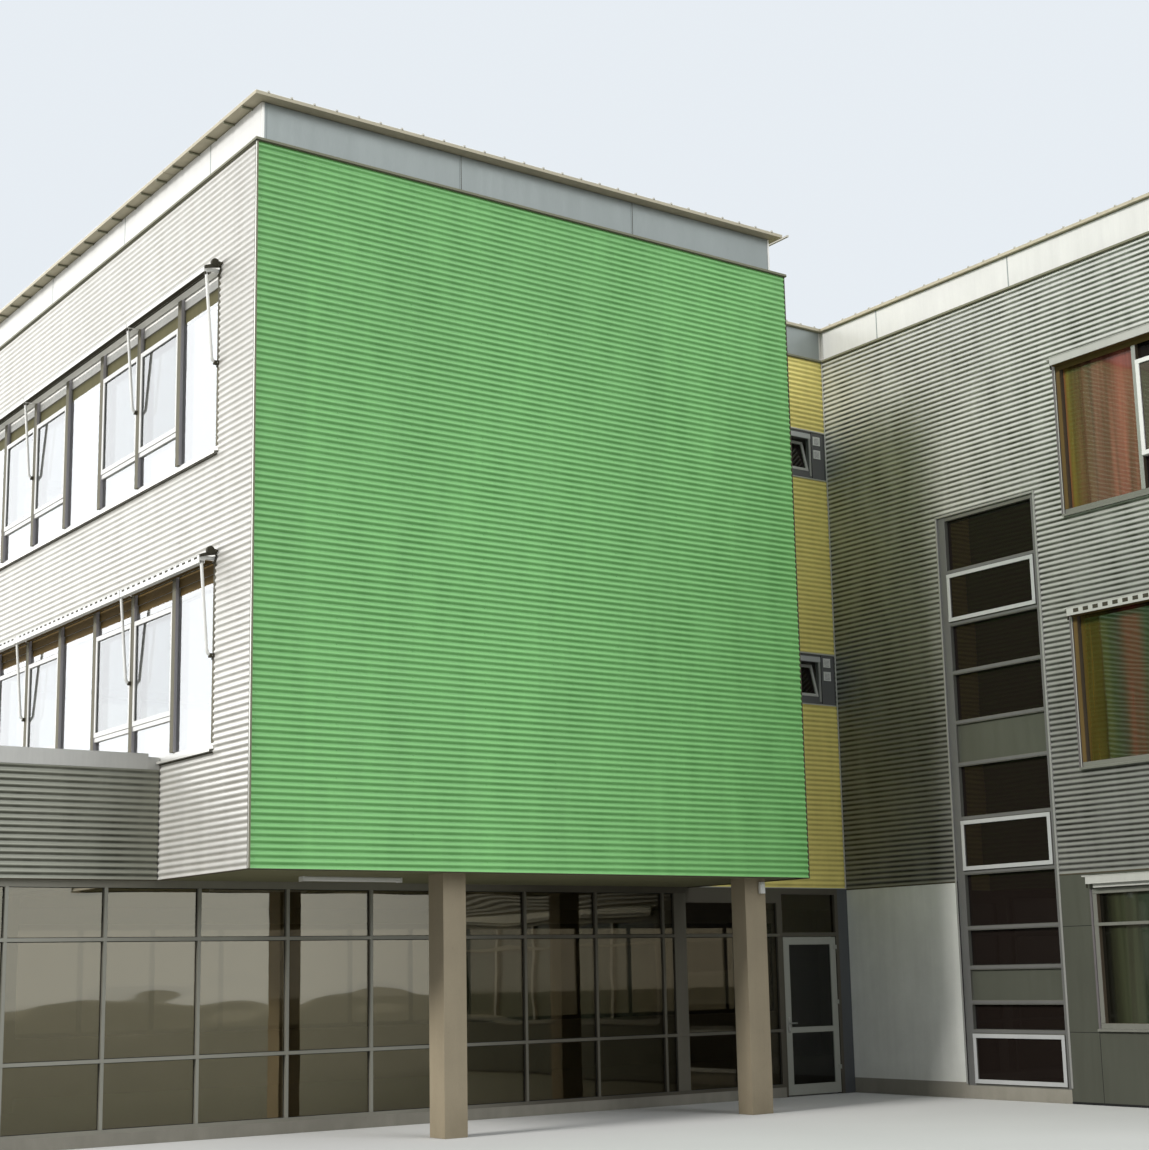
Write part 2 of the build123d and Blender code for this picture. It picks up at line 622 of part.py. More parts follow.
def yellow_wall_windows():
    """Two dark window units in the yellow wall: an opening with a tilted sash, and a panel beside it."""
    y = (BOX_DEPTH + FRAME_SETBACK, BOX_DEPTH + FRAME_SETBACK + FRAME_DEPTH)
    units = []
    for bottom, top in UNIT_LEVELS:
        whole = block((UNIT_LEFT, WING_LEFT), y, (bottom, top))
        opening = block((UNIT_LEFT + UNIT_POST, UNIT_OPENING_RIGHT), y,
                        (bottom + UNIT_BOTTOM_RAIL, top - UNIT_TOP_RAIL))
        units.append(whole.cut(opening))
    add("yellow_window_units", *units)
    add("yellow_window_sashes", *[unit_sash(level)[0] for level in UNIT_LEVELS])


def terrace_glazing():
    """Posts and rails of the ground floor front, from the annex's end to the door."""
    y = (GLAZING_Y, GLAZING_Y + GLAZING_FACE)
    back = GLAZING_Y + GLAZING_DEPTH + GLASS
    left = GLAZING_FIRST - GLAZING_LEFT_BAYS * GLAZING_BAY
    right = DOOR_LEFT - FRAME_POST
    half = GLAZING_MULLION / 2
    posts = [GLAZING_FIRST + GLAZING_BAY * n for n in range(1 - GLAZING_LEFT_BAYS, GLAZING_RIGHT_BAYS + 1)]
    posts.append(SIDE_MULLION)
    z = (SILL_TOP, COVER_Z)
    pieces = [block((x - half, x + half), y, z) for x in posts]
    pieces.append(block((left, left + GLAZING_MULLION), y, z))
    pieces.append(block((right - GLAZING_MULLION, right), y, z))
    pieces.append(block((POST_LEFT, POST_RIGHT), y, z))
    pieces.append(block((left, right), y, (SILL_TOP, SILL_TOP + GLAZING_MULLION)))
    pieces.append(block((left, right), y, (GLAZING_HEAD, COVER_Z)))
    pieces.append(block((POST_RIGHT, right), y, (GLAZING_HEAD - LINTEL, COVER_Z)))
    for level in (LOW_TRANSOM, HIGH_TRANSOM):
        pieces.append(block((left, right), y, (level - half, level + half)))
    add("terrace_glazing_frame", fused(pieces))
    glass_y = (y[1], y[1] + GLASS)
    over_y = y[0] + OVERLIGHT_INSET
    overlight = block((DOOR_LEFT, DOOR_RIGHT), (over_y, over_y + GLASS),
                      (DOOR_HEAD_TOP, COVER_Z - DOOR_FRAME_TOP))
    add("terrace_glass", block((left, right), glass_y, z), overlight)
    court = (WING_LEFT, WING_LEFT + CLAD)
    add("terrace_plinths",
        block((left, right), (y[0] - PLINTH_PROUD, back), (0, SILL_TOP)),
        block(court, (STAIR_FAR, GLAZING_Y), (0, PLINTH)),
        block(court, (STAIR_NEAR, STAIR_FAR), (0, STAIR_SILL)))


def knuckle(x, y, z, plate_x, plate_y):
    """One half of a barrel hinge, upwards from z, with the plate that carries it."""
    top = z + KNUCKLE_LENGTH
    barrel = Pos(x, y, (z + top) / 2) * Cylinder(KNUCKLE_RADIUS, KNUCKLE_LENGTH)
    return [barrel, block(plate_x, plate_y, (z, top))]


def terrace_door():
    """The hinged door, its frame with a pane above, and the dark panel beside it."""
    y = (GLAZING_Y, GLAZING_Y + GLAZING_DEPTH)
    left_post = (DOOR_LEFT - FRAME_POST, DOOR_LEFT)
    right_post = (DOOR_RIGHT, DOOR_RIGHT + FRAME_POST)
    head = (DOOR_TOP + DOOR_SIDE_GAP, DOOR_HEAD_TOP)
    leaf_x = (DOOR_LEFT + DOOR_SIDE_GAP, DOOR_RIGHT - DOOR_HINGE_GAP)
    leaf_y = (GLAZING_Y + DOOR_SETBACK, GLAZING_Y + DOOR_SETBACK + DOOR_THICK)
    leaf_z = (DOOR_BOTTOM_GAP, DOOR_TOP)
    axis_x = leaf_x[1] + HINGE_SIDE
    axis_y = leaf_y[0] - HINGE_PROUD
    frame_knuckles = []
    leaf_knuckles = []
    plate_y = (axis_y - 1, axis_y - 1 + HINGE_PLATE_THICK)
    for z in HINGE_LEVELS:
        frame_knuckles += knuckle(axis_x, axis_y, z, (axis_x, right_post[0] + HINGE_PLATE / 2),
                                  (axis_y, y[0]))
        upper = z + KNUCKLE_LENGTH + KNUCKLE_GAP
        leaf_knuckles += knuckle(axis_x, axis_y, upper, (leaf_x[1] - HINGE_PLATE, axis_x), plate_y)
        leaf_knuckles.append(block((leaf_x[1] - HINGE_PLATE, leaf_x[1] - HINGE_FOOT),
                                   (plate_y[1], leaf_y[0]), (upper, upper + KNUCKLE_LENGTH)))
    add("door_frame", fused(frame_knuckles + [
        block(left_post, y, (0, COVER_Z)),
        block(right_post, y, (0, COVER_Z)),
        block((left_post[0], right_post[1]), y, head),
        block((left_post[0], right_post[1]), y, (COVER_Z - DOOR_FRAME_TOP, COVER_Z))]))
    add("terrace_end_panel", block((right_post[1], WING_LEFT + CLAD), y, (0, COVER_Z)))
    pane_x = (leaf_x[0] + DOOR_STILE, leaf_x[1] - DOOR_STILE)
    low_pane = (leaf_z[0] + DOOR_BOTTOM_RAIL, LOW_TRANSOM - DOOR_RAIL / 2)
    high_pane = (LOW_TRANSOM + DOOR_RAIL / 2, leaf_z[1] - DOOR_STILE)
    leaf = block(leaf_x, leaf_y, leaf_z)
    leaf = leaf.cut(block(pane_x, leaf_y, low_pane), block(pane_x, leaf_y, high_pane))
    add("door_leaf", fused([leaf] + leaf_knuckles))
    glass_y = (leaf_y[0] + DOOR_GLASS_INSET, leaf_y[0] + DOOR_GLASS_INSET + GLASS)
    add("door_glass", block(pane_x, glass_y, low_pane), block(pane_x, glass_y, high_pane))
    door_handle(leaf_x[0] + DOOR_STILE / 2, leaf_y[0])
    return axis_x - CENTRE_X, axis_y - CENTRE_Y


def door_handle(x, face):
    """A lever on a neck, with the plate behind it on the door's face."""
    grip_y = face - HANDLE_OUT
    half = HANDLE_NECK / 2
    width, thick, height = HANDLE_PLATE
    lever = Pos(x + HANDLE_LENGTH / 2 - HANDLE_RADIUS, grip_y, HANDLE_LEVEL) * Rot(0, 90, 0)
    add("door_handle", fused([
        lever * Cylinder(HANDLE_RADIUS, HANDLE_LENGTH),
        block((x - half, x + half), (grip_y, face), (HANDLE_LEVEL - half, HANDLE_LEVEL + half)),
        block((x - width / 2, x + width / 2), (face - thick, face),
              (HANDLE_LEVEL - 0.6 * height, HANDLE_LEVEL + 0.4 * height))]))


def terrace_shelter():
    """Columns and the soffit under the box."""
    columns = [block((x, x + width), (COLUMN_FRONT, COLUMN_FRONT + depth), (0, COVER_Z))
               for x, width, depth in COLUMNS]
    add("terrace_columns", *columns)
    add("box_soffit", block((CLAD, BOX_WIDTH - CLAD), (CLAD, GLAZING_Y + GLAZING_DEPTH),
                            (COVER_Z, COVER_Z + CLAD)))


def court_base():
    """Plaster wall, and the smooth grey panels of the wing's ground floor."""
    x = (WING_LEFT, WING_LEFT + CLAD)
    add("white_plaster_wall", block(x, (STAIR_FAR, GLAZING_Y), (PLINTH, COVER_Z)))
    panel = block(x, (WING_FRONT + CLAD, STAIR_NEAR), (0, COVER_Z))
    add("court_base_panels", panel.cut(block(x, span(WING_EDGES), GROUND_BAND)))


def awnings():
    """Front bars of the awnings, and the bent arms and brackets that carry them on the left wall."""
    groups = [(0, 2)] + [(n, min(n + 3, LEFT_BAYS)) for n in range(2, LEFT_BAYS, 3)]
    bars = []
    arms = []
    for bottom, _ in sill_levels():
        for first, last in groups:
            y = (LEFT_EDGES[first], LEFT_EDGES[last] - BAR_GAP)
            top = bottom + WINDOW_HEIGHT + BAR_RISE
            bar = block((-BAR_OUT, BAR_DEPTH - BAR_OUT), y, (top - BAR, top))
            middle = top - BAR / 2
            reach = (BAR_DEPTH - BAR_OUT, 0)
            brackets = [block(reach, (edge, edge + BRACKET),
                              (middle - BRACKET_HEIGHT / 2, middle + BRACKET_HEIGHT / 2))
                        for edge in (y[0], y[1] - BRACKET)]
            bars.append(fused([bar] + brackets))
            arms.append(arm(y[0] + ARM_RADIUS, bottom + ARM_FOOT, top - BAR))
    low, high = span(WING_EDGES)
    for level in COURT_CASSETTE_LEVELS:
        box = block((WING_LEFT - COURT_CASSETTE_OUT, WING_LEFT), (low, high), level)
        drip = block((WING_LEFT - DRIP_OUT, WING_LEFT), (low, high - DRIP_START),
                     (level[0] - DRIP_HEIGHT, level[0]))
        bars.append(fused([box, drip]) if level == COURT_CASSETTE_LEVELS[0] else box)
    add("awning_boxes", *bars)
    add("awning_arms", *arms)


def arm(y, foot, under):
    """A bar that leaves the window post, bends up and leans out to the underside of the front bar."""
    lean = (ARM_TIP_OUT - ARM_OUT) / (under - foot)
    tip = under - ARM_RADIUS * lean - KNUCKLE_GAP
    points = [(FRAME_SETBACK, y, foot),
              (ARM_BEND - ARM_OUT, y, foot),
              (-ARM_OUT, y, foot + ARM_BEND),
              (-ARM_TIP_OUT, y, tip)]
    path = Polyline(*points)
    section = Plane(origin=points[0], z_dir=(-1, 0, 0)) * RegularPolygon(ARM_RADIUS, ARM_SIDES)
    return sweep(section, path=path, transition=Transition.RIGHT)


def export_all():
    os.makedirs("parts", exist_ok=True)
    for name, shape in PARTS.items():
        export_step(shape, f"parts/{name}.step")


def main():
    floor_slabs()
    roof()
    fascia_panels()
    upper_walls()
    court_wall()
    cladding()
    cladding_trims()
    annex()
    ribbon_windows()
    stair_window()
    yellow_wall_windows()
    terrace_glazing()
    hinge = terrace_door()
    terrace_shelter()
    court_base()
    awnings()
    export_all()
    print("hinge at", hinge, "nodes", len(PARTS))


main()
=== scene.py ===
"""Looks of the school building: sheets, trims, glazing details, finishes, light and camera."""
import bmesh
import bpy
import math
from mathutils import Matrix, Vector


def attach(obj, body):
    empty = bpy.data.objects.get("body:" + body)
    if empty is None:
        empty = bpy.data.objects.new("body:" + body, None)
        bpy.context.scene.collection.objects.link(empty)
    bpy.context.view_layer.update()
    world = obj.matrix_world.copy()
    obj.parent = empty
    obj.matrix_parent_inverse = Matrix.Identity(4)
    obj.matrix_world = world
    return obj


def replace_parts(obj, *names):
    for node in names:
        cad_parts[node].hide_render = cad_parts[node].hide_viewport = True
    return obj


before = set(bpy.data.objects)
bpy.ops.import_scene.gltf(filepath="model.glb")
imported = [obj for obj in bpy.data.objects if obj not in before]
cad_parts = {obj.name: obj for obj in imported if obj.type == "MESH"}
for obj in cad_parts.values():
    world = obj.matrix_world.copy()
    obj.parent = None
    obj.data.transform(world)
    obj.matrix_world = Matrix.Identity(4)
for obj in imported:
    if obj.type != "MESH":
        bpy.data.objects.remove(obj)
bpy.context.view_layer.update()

# The plan is laid out from the green wall's left corner; the origin is the footprint's centre.
ORIGIN = Vector((-6.8425, -1.25, 0.0))
UP = Vector((0, 0, 1))

# Foot and head of the sheets, top of the fascia, top of the roof plate.
COVER, CLAD_TOP, FASCIA_TOP, ROOF_TOP = 3.02, 11.42, 11.97, 12.02
# The sheets' wave, from crest to crest and from crest to trough.
PITCH, DEPTH = 0.076, 0.018
# Outer faces of the green box, the main part, the wing and the annex.
BOX_W, BOX_D = 8.16, 2.57
MAIN_W, MAIN_B = 19.24, 11.90
WING_L, WING_F = 11.24, -9.40
ANNEX_L, ANNEX_F, ANNEX_B, ANNEX_TOP = -5.59, 2.43, 8.43, 4.51

# Foot and head of the ribbon windows on the upper floors and on the ground floor.
BANDS = ((4.42, 6.61), (7.92, 10.11))
GROUND = (0.98, 2.80)
# Edges of their bays along each wall.
BAY = 1.26
LEFT_EDGES = [0.97] + [2.08 + BAY * n for n in range(8)]
WING_EDGES = [-2.12] + [-3.44 - BAY * n for n in range(5)]
REAR_EDGES = [1.43 + BAY * n for n in range(14)]
RIGHT_EDGES = [-8.2 + BAY * n for n in range(16)]
# The stair window, and the window units in the yellow wall with their left edge.
STAIR_NEAR, STAIR_FAR, STAIR_FOOT, STAIR_HEAD = -1.57, 0.27, 0.18, 8.35
UNITS = ((5.83, 6.65), (9.44, 10.25))
UNIT_L = 9.50


# Finishes
class Finish:
    """A procedural material on Object coordinates."""

    def __init__(self, name):
        self.material = bpy.data.materials.new(name)
        self.material.use_nodes = True
        self.nodes = self.material.node_tree.nodes
        self.links = self.material.node_tree.links
        self.nodes.clear()
        out = self.nodes.new("ShaderNodeOutputMaterial")
        self.shader = self.nodes.new("ShaderNodeBsdfPrincipled")
        self.links.new(self.shader.outputs[0], out.inputs[0])
        self.place = self.nodes.new("ShaderNodeTexCoord").outputs["Object"]
        self.heights = []

    def put(self, socket, value):
        """Links or sets a socket. A colour gets its alpha."""
        if isinstance(value, bpy.types.NodeSocket):
            self.links.new(value, socket)
        elif isinstance(value, tuple) and len(value) == 3 and socket.type == "RGBA":
            socket.default_value = (*value, 1.0)
        else:
            socket.default_value = value

    def scaled(self, scale):
        """Object coordinates stretched by a number or by one for each axis."""
        node = self.nodes.new("ShaderNodeMapping")
        self.links.new(self.place, node.inputs["Vector"])
        node.inputs["Scale"].default_value = scale if isinstance(scale, tuple) else (scale,) * 3
        return node.outputs[0]

    def noise(self, scale, detail=3.0, roughness=0.55, distortion=0.0):
        """A cloudy pattern, with about as many clouds to a metre as its scale."""
        node = self.nodes.new("ShaderNodeTexNoise")
        self.links.new(self.scaled(scale), node.inputs["Vector"])
        node.inputs["Scale"].default_value = 1.0
        node.inputs["Detail"].default_value = detail
        node.inputs["Roughness"].default_value = roughness
        node.inputs["Distortion"].default_value = distortion
        return node.outputs["Fac"]

    def cells(self, scale):
        node = self.nodes.new("ShaderNodeTexVoronoi")
        self.links.new(self.scaled(scale), node.inputs["Vector"])
        node.inputs["Scale"].default_value = 1.0
        return node.outputs["Distance"]

    def math(self, operation, a, b=0.0):
        node = self.nodes.new("ShaderNodeMath")
        node.operation = operation
        self.put(node.inputs[0], a)
        self.put(node.inputs[1], b)
        return node.outputs[0]

    def span(self, value, low, high, to_low=0.0, to_high=1.0):
        """A value's stretch from low to high, turned into another stretch and held at its ends."""
        node = self.nodes.new("ShaderNodeMapRange")
        self.put(node.inputs["Value"], value)
        node.inputs["From Min"].default_value = low
        node.inputs["From Max"].default_value = high
        node.inputs["To Min"].default_value = to_low
        node.inputs["To Max"].default_value = to_high
        return node.outputs[0]

    def mix(self, factor, a, b, kind="MIX"):
        node = self.nodes.new("ShaderNodeMix")
        node.data_type = "RGBA"
        node.blend_type = kind
        self.put(node.inputs[0], factor)
        self.put(node.inputs[6], a)
        self.put(node.inputs[7], b)
        return node.outputs[2]

    def axis(self, letter):
        node = self.nodes.new("ShaderNodeSeparateXYZ")
        self.links.new(self.place, node.inputs[0])
        return node.outputs["XYZ".index(letter)]

    def grey(self, value):
        node = self.nodes.new("ShaderNodeCombineColor")
        for n in range(3):
            self.links.new(value, node.inputs[n])
        return node.outputs[0]

    def tone(self, base, amounts):
        """The base colour with each (pattern, share) darkening or lightening it about its middle."""
        colour = base
        for pattern, share in amounts:
            factor = self.span(pattern, 0.25, 0.75, 1 - share, 1 + share)
            colour = self.mix(1.0, colour, self.grey(factor), "MULTIPLY")
        return colour

    def set(self, **values):
        for name, value in values.items():
            self.put(self.shader.inputs[name.replace("_", " ")], value)

    def relief(self, height, distance, strength):
        self.heights.append((height, distance, strength))
        return self

    def done(self):
        """The material, with its reliefs laid one over another."""
        normal = None
        for height, distance, strength in self.heights:
            node = self.nodes.new("ShaderNodeBump")
            node.inputs["Distance"].default_value = distance
            node.inputs["Strength"].default_value = strength
            self.put(node.inputs["Height"], height)
            if normal:
                self.links.new(normal, node.inputs["Normal"])
            normal = node.outputs[0]
        if normal:
            self.links.new(normal, self.shader.inputs["Normal"])
        return self.material


def coated_sheet(name, base, shade_and_dirt, metallic=0.0, roughness=0.42, share=(0.4, 0.8), painted_light_rise=None):
    """Coil coated or mill finish wavy sheet: panel tones, rain streaks, and painted shade with grime under
    the crests.
    share: the least and the greatest share of that painted shade. painted_light_rise: the two heights between
    which the sheet is painted lighter upwards, and its brightness at both."""
    f = Finish(name)
    turn = f.math("MULTIPLY", f.math("SUBTRACT", f.axis("Z"), COVER), math.tau / PITCH)
    wave = f.math("SINE", turn)
    # Each wave's lower slope, where shade is painted into the colour.
    under = f.span(f.math("COSINE", f.math("ADD", turn, 2.2)), -0.35, 0.9)
    streaks = f.noise((5.0, 5.0, 0.35), 4, 0.6)
    clouds = f.noise(0.45, 3)
    fine = f.noise(70.0, 2)
    panel_width = 1.06
    number = f.math("FLOOR", f.math("DIVIDE", f.math("ADD", f.axis("X"), f.axis("Y")), panel_width))
    panel = f.math("FRACT", f.math("MULTIPLY", number, 0.618))
    body = f.tone(base, [(streaks, 0.05), (clouds, 0.05), (fine, 0.025), (panel, 0.018)])
    # Painted shade under the crests, its strength varied by cloudy grime.
    shade_and_grime_mask = f.math("MULTIPLY", under, f.span(f.noise((3.0, 3.0, 1.2), 3), 0.3, 0.7, *share))
    shaded_body = f.mix(shade_and_grime_mask, body, shade_and_dirt)
    # Painted light and shade: the sheet darker low on the wall and lighter high up.
    if painted_light_rise:
        shaded_body = f.mix(1.0, shaded_body, f.grey(f.span(f.axis("Z"), *painted_light_rise)), "MULTIPLY")
    dull = f.span(streaks, 0.2, 0.8, roughness - 0.06, roughness + 0.1)
    f.set(Base_Color=shaded_body, Metallic=metallic, Roughness=dull)
    f.relief(wave, 0.0004, 0.15)
    f.relief(f.noise((0.9, 0.9, 6.0), 2), 0.004, 0.35)
    f.relief(fine, 0.0004, 0.25)
    return f.done()


def flat_metal(name, base, metallic=0.0, roughness=0.4, streak=0.05, shine=0.5, beyond=None):
    """Smooth painted or anodised metal with faint oil canning, dust streaks and fine grain.
    beyond: the stretch along X over which the colour turns to another, and that colour. On the terrace's
    frames and caps that turn is painted shade of the green box."""
    f = Finish(name)
    if beyond:
        start, end, other = beyond
        base = f.mix(f.span(f.axis("X"), start, end), base, other)
    streaks = f.noise((9.0, 9.0, 0.8), 4, 0.6)
    clouds = f.noise(0.9, 3)
    grain = f.noise((140.0, 140.0, 18.0), 2)
    colour = f.tone(base, [(streaks, streak), (clouds, 0.05), (grain, 0.02)])
    dull = f.span(streaks, 0.2, 0.8, roughness - 0.07, roughness + 0.08)
    f.set(Base_Color=colour, Metallic=metallic, Roughness=dull, Specular_IOR_Level=shine)
    f.relief(f.noise(1.1, 2), 0.002, 0.3)
    f.relief(grain, 0.0003, 0.3)
    return f.done()


def masonry(name, base, stain, grain, depth=0.002, pores=False):
    """Concrete or render: sandy grain, cloudy tone, water streaks and a stained foot."""
    f = Finish(name)
    clouds = f.noise(1.3, 5, 0.6)
    streaks = f.noise((7.0, 7.0, 0.5), 4, 0.6)
    sand = f.noise(grain, 3)
    body = f.tone(base, [(clouds, 0.09), (streaks, 0.05), (sand, 0.06)])
    foot = f.math("MULTIPLY", f.span(f.axis("Z"), 0.0, 0.5, 1.0, 0.0),
                  f.span(f.noise((4.0, 4.0, 2.0), 4), 0.3, 0.7, 0.2, 1.0))
    colour = f.mix(f.math("MULTIPLY", foot, 0.5), body, stain)
    if pores:
        hole = f.span(f.cells(38.0), 0.06, 0.14, 1.0, 0.0)
        some = f.span(f.noise(9.0, 2), 0.5, 0.62, 0.0, 1.0)
        hole = f.math("MULTIPLY", hole, some)
        colour = f.mix(hole, colour, tuple(0.35 * c for c in base))
        f.relief(f.math("SUBTRACT", 1.0, hole), 0.003, 0.6)
    f.set(Base_Color=colour, Roughness=f.span(clouds, 0.3, 0.7, 0.82, 0.95))
    f.relief(sand, depth, 0.5)
    f.relief(clouds, 0.006, 0.25)
    return f.done()


def pane(f):
    """The finish with each pane bulged a little, so that reflections waver."""
    return f.relief(f.noise((0.7, 0.7, 1.9), 1, 0.4), 0.01, 0.25).done()


def window_glass(name, tint, index, coat=(1.0, 1.0, 1.0), reflection_fade=None, clear=1.0):
    """Tinted, glossy double glazing. coat tints its reflections, a painted reflection colour.
    reflection_fade: the stretch along X over which the index falls away, a painted reflection that is strong
    at its start, and the index at its end."""
    f = Finish(name)
    if reflection_fade:
        start, end, last = reflection_fade
        index = f.span(f.axis("X"), start, end, index, last)
    f.set(Base_Color=tint, Roughness=0.015, IOR=index, Transmission_Weight=clear, Specular_Tint=coat)
    return pane(f)


def curtained(name, stops):
    """A pane with a drawn curtain close behind it: upright folds under a glossy surface.
    stops: (y, colour) pairs from the wing's front backwards."""
    f = Finish(name)
    y = f.axis("Y")
    colour = stops[0][1]
    for (start, _), (end, after) in zip(stops[:-1], stops[1:]):
        colour = f.mix(f.span(y, start, end), colour, after)
    folds = f.noise((9.0, 9.0, 0.35), 2, 0.5, 0.4)
    weave = f.noise((60.0, 60.0, 45.0), 2)
    f.set(Base_Color=f.tone(colour, [(folds, 0.45), (weave, 0.05)]), Roughness=0.04, IOR=2.0)
    return pane(f)


# Wavy sheets of the walls
# Each sheet's second colour is painted shade under the crests, patchy with grime.
GREEN = coated_sheet("green coated sheet", (0.22, 0.54, 0.18), (0.068, 0.24, 0.052), share=(0.25, 0.65))
# SILVER, BRIGHT_SILVER, COURT_SILVER and ANNEX_SILVER are one aluminium sheet in lit and shaded copies:
# BRIGHT_SILVER is painted light for the sunlit left wall, COURT_SILVER and ANNEX_SILVER are painted shade.
SILVER = coated_sheet("mill aluminium sheet", (0.56, 0.56, 0.53), (0.12, 0.12, 0.10), 0.3)
BRIGHT_SILVER = coated_sheet("sunny side aluminium sheet", (0.655, 0.645, 0.61), (0.34, 0.325, 0.285),
                             0.2, 0.45, share=(0.45, 0.8))
COURT_SILVER = coated_sheet("court aluminium sheet", (0.42, 0.423, 0.395), (0.035, 0.036, 0.027),
                            0.3, 0.4, share=(0.65, 1.0), painted_light_rise=(5.2, 9.6, 0.62, 1.5))
ANNEX_SILVER = coated_sheet("annex aluminium sheet", (0.30, 0.305, 0.25), (0.04, 0.042, 0.03),
                            0.3, share=(0.6, 0.95))
YELLOW = coated_sheet("ochre coated sheet", (0.92, 0.80, 0.26), (0.46, 0.38, 0.115), share=(0.35, 0.75))

# Flat panels, soffit and roof
FASCIA = flat_metal("blue grey fascia panel", (0.255, 0.285, 0.275), 0.2)
# A lit copy of the fascia's paint: painted light on its sunny sides.
PALE_FASCIA = flat_metal("sunny fascia panel", (0.68, 0.675, 0.65), 0.1, 0.42)
DARK = flat_metal("dark grey panel", (0.085, 0.09, 0.095), 0.1, 0.42)
UNIT_PANEL = flat_metal("window unit panel", (0.13, 0.13, 0.133), 0.1, 0.42)
SOFFIT = flat_metal("soffit panel", (0.25, 0.24, 0.14), 0.0, 0.6, shine=0.3)
STAIR_PANEL = flat_metal("grey infill panel", (0.078, 0.082, 0.064), 0.1, 0.45)
BASE_PANEL = flat_metal("warm grey base panel", (0.075, 0.078, 0.061), 0.1, 0.45)
ROOF = flat_metal("roof sheet", (0.46, 0.44, 0.38), 0.3, 0.42, 0.08)
EAVE = flat_metal("weathered eave sheet", (0.47, 0.425, 0.31), 0.1, 0.55, 0.1)

# Folded trims, and the panels at the windows' heads, which are painted shade and painted reflection
TRIM_AND_SHADE = flat_metal("dark folded trim and painted shade", (0.075, 0.065, 0.045), 0.1, 0.6, shine=0.15)
LEDGE = flat_metal("olive folded ledge", (0.20, 0.20, 0.135), 0.1, 0.55, 0.06, 0.2)
STRIP = flat_metal("light folded trim", (0.62, 0.61, 0.57), 0.4, 0.38)
CAP = flat_metal("light grey cap", (0.46, 0.455, 0.43), 0.15, 0.45, 0.08)
JAMB = flat_metal("jamb flashing", (0.17, 0.155, 0.16), 0.3, 0.45, shine=0.3)
# Painted light: white made brighter than the white powder coat to make up for the awning's shade.
HEAD_WHITE = flat_metal("white head rail", (0.90, 0.89, 0.85), 0.0, 0.5)
HEAD_SHADE_BROWN = flat_metal("brown painted shade panel", (0.12, 0.08, 0.03), 0.0, 0.75, 0.12, 0.08)
HEAD_REFLECTION_OLIVE = flat_metal("olive painted reflection panel", (0.13, 0.12, 0.065), 0.0, 0.75, 0.12, 0.08)

# Window frames, caps, rails and sashes
LEFT_FRAMES = flat_metal("dark window frame", (0.33, 0.32, 0.30), 0.1, 0.6, shine=0.2)
LEFT_CAP = flat_metal("dark glazing cap", (0.15, 0.14, 0.10), 0.1, 0.65, shine=0.15)
# Painted light: a pale plate for the sides of the left window posts.
LEFT_REVEAL = flat_metal("post side", (0.40, 0.385, 0.41), 0.1, 0.5, shine=0.3)
LEFT_RAIL = flat_metal("light glazing rail", (0.62, 0.62, 0.60), 0.2, 0.36, 0.03)
# Painted light: WHITE_BAR's white toned down for the sunlit left wall, a lit copy of one paint.
LEFT_SASH = flat_metal("sunny sash paint", (0.66, 0.66, 0.64), 0.0, 0.42, 0.03)
COURT_FRAMES = flat_metal("shaded window frame", (0.12, 0.095, 0.065), 0.1, 0.6, 0.06, 0.15)
COURT_CAP = flat_metal("grey glazing cap", (0.36, 0.36, 0.34), 0.3, 0.36, 0.03)
COURT_RAIL = flat_metal("grey sill rail", (0.20, 0.20, 0.175), 0.2, 0.45, 0.04, 0.3)
OUTER_FRAMES = flat_metal("outer window frame", (0.22, 0.22, 0.19), 0.3, 0.4, 0.04)
STAIR_FRAMES = flat_metal("stair window frame", (0.15, 0.15, 0.13), 0.2, 0.5, shine=0.2)
STAIR_CAP = flat_metal("stair rail cap", (0.15, 0.15, 0.145), 0.2, 0.5, 0.04, 0.25)
SASH_GREY = flat_metal("pale sash", (0.50, 0.51, 0.51), 0.2, 0.36, 0.03)
# The stretch along X over which the terrace front goes into the shade of the green box.
SHADED = (-3.6, -1.2)
TERRACE_FRAMES = flat_metal("grey glazing frame", (0.24, 0.23, 0.19), 0.2, 0.45, 0.04, 0.3,
                            (*SHADED, (0.10, 0.09, 0.07)))
TERRACE_CAP = flat_metal("terrace cap", (0.27, 0.265, 0.225), 0.2, 0.42, 0.04, 0.35,
                         (*SHADED, (0.13, 0.12, 0.095)))
GASKET = flat_metal("black gasket", (0.02, 0.02, 0.02), 0.0, 0.8, shine=0.05)

# Awnings, door and lamps
AWNING = flat_metal("white awning housing", (0.74, 0.74, 0.71), 0.0, 0.4, 0.04, 0.5,
                    (3.0, 3.2, (0.46, 0.46, 0.43)))
TUBE = flat_metal("aluminium awning arm", (0.80, 0.80, 0.77), 0.1)
CASTING_AND_SHADE = flat_metal("dark gear casting and painted shade", (0.06, 0.055, 0.04), 0.1, 0.65, shine=0.1)
DOOR_PAINT = flat_metal("door paint", (0.34, 0.345, 0.305), 0.1, 0.42, 0.04)
WHITE_BAR = flat_metal("white powder coat", (0.76, 0.76, 0.74), 0.0, 0.38, 0.03)
STEEL = flat_metal("brushed steel", (0.55, 0.55, 0.54), 1.0, 0.28)

# Concrete and render
CONCRETE = masonry("column concrete", (0.31, 0.26, 0.18), (0.16, 0.13, 0.08), 90.0, pores=True)
SLAB = masonry("slab concrete", (0.46, 0.45, 0.42), (0.25, 0.24, 0.22), 70.0)
PLASTER = masonry("white render", (0.70, 0.71, 0.67), (0.42, 0.42, 0.37), 160.0, 0.003)
PLINTH = masonry("grey plinth render", (0.265, 0.25, 0.21), (0.15, 0.14, 0.11), 160.0, 0.003)

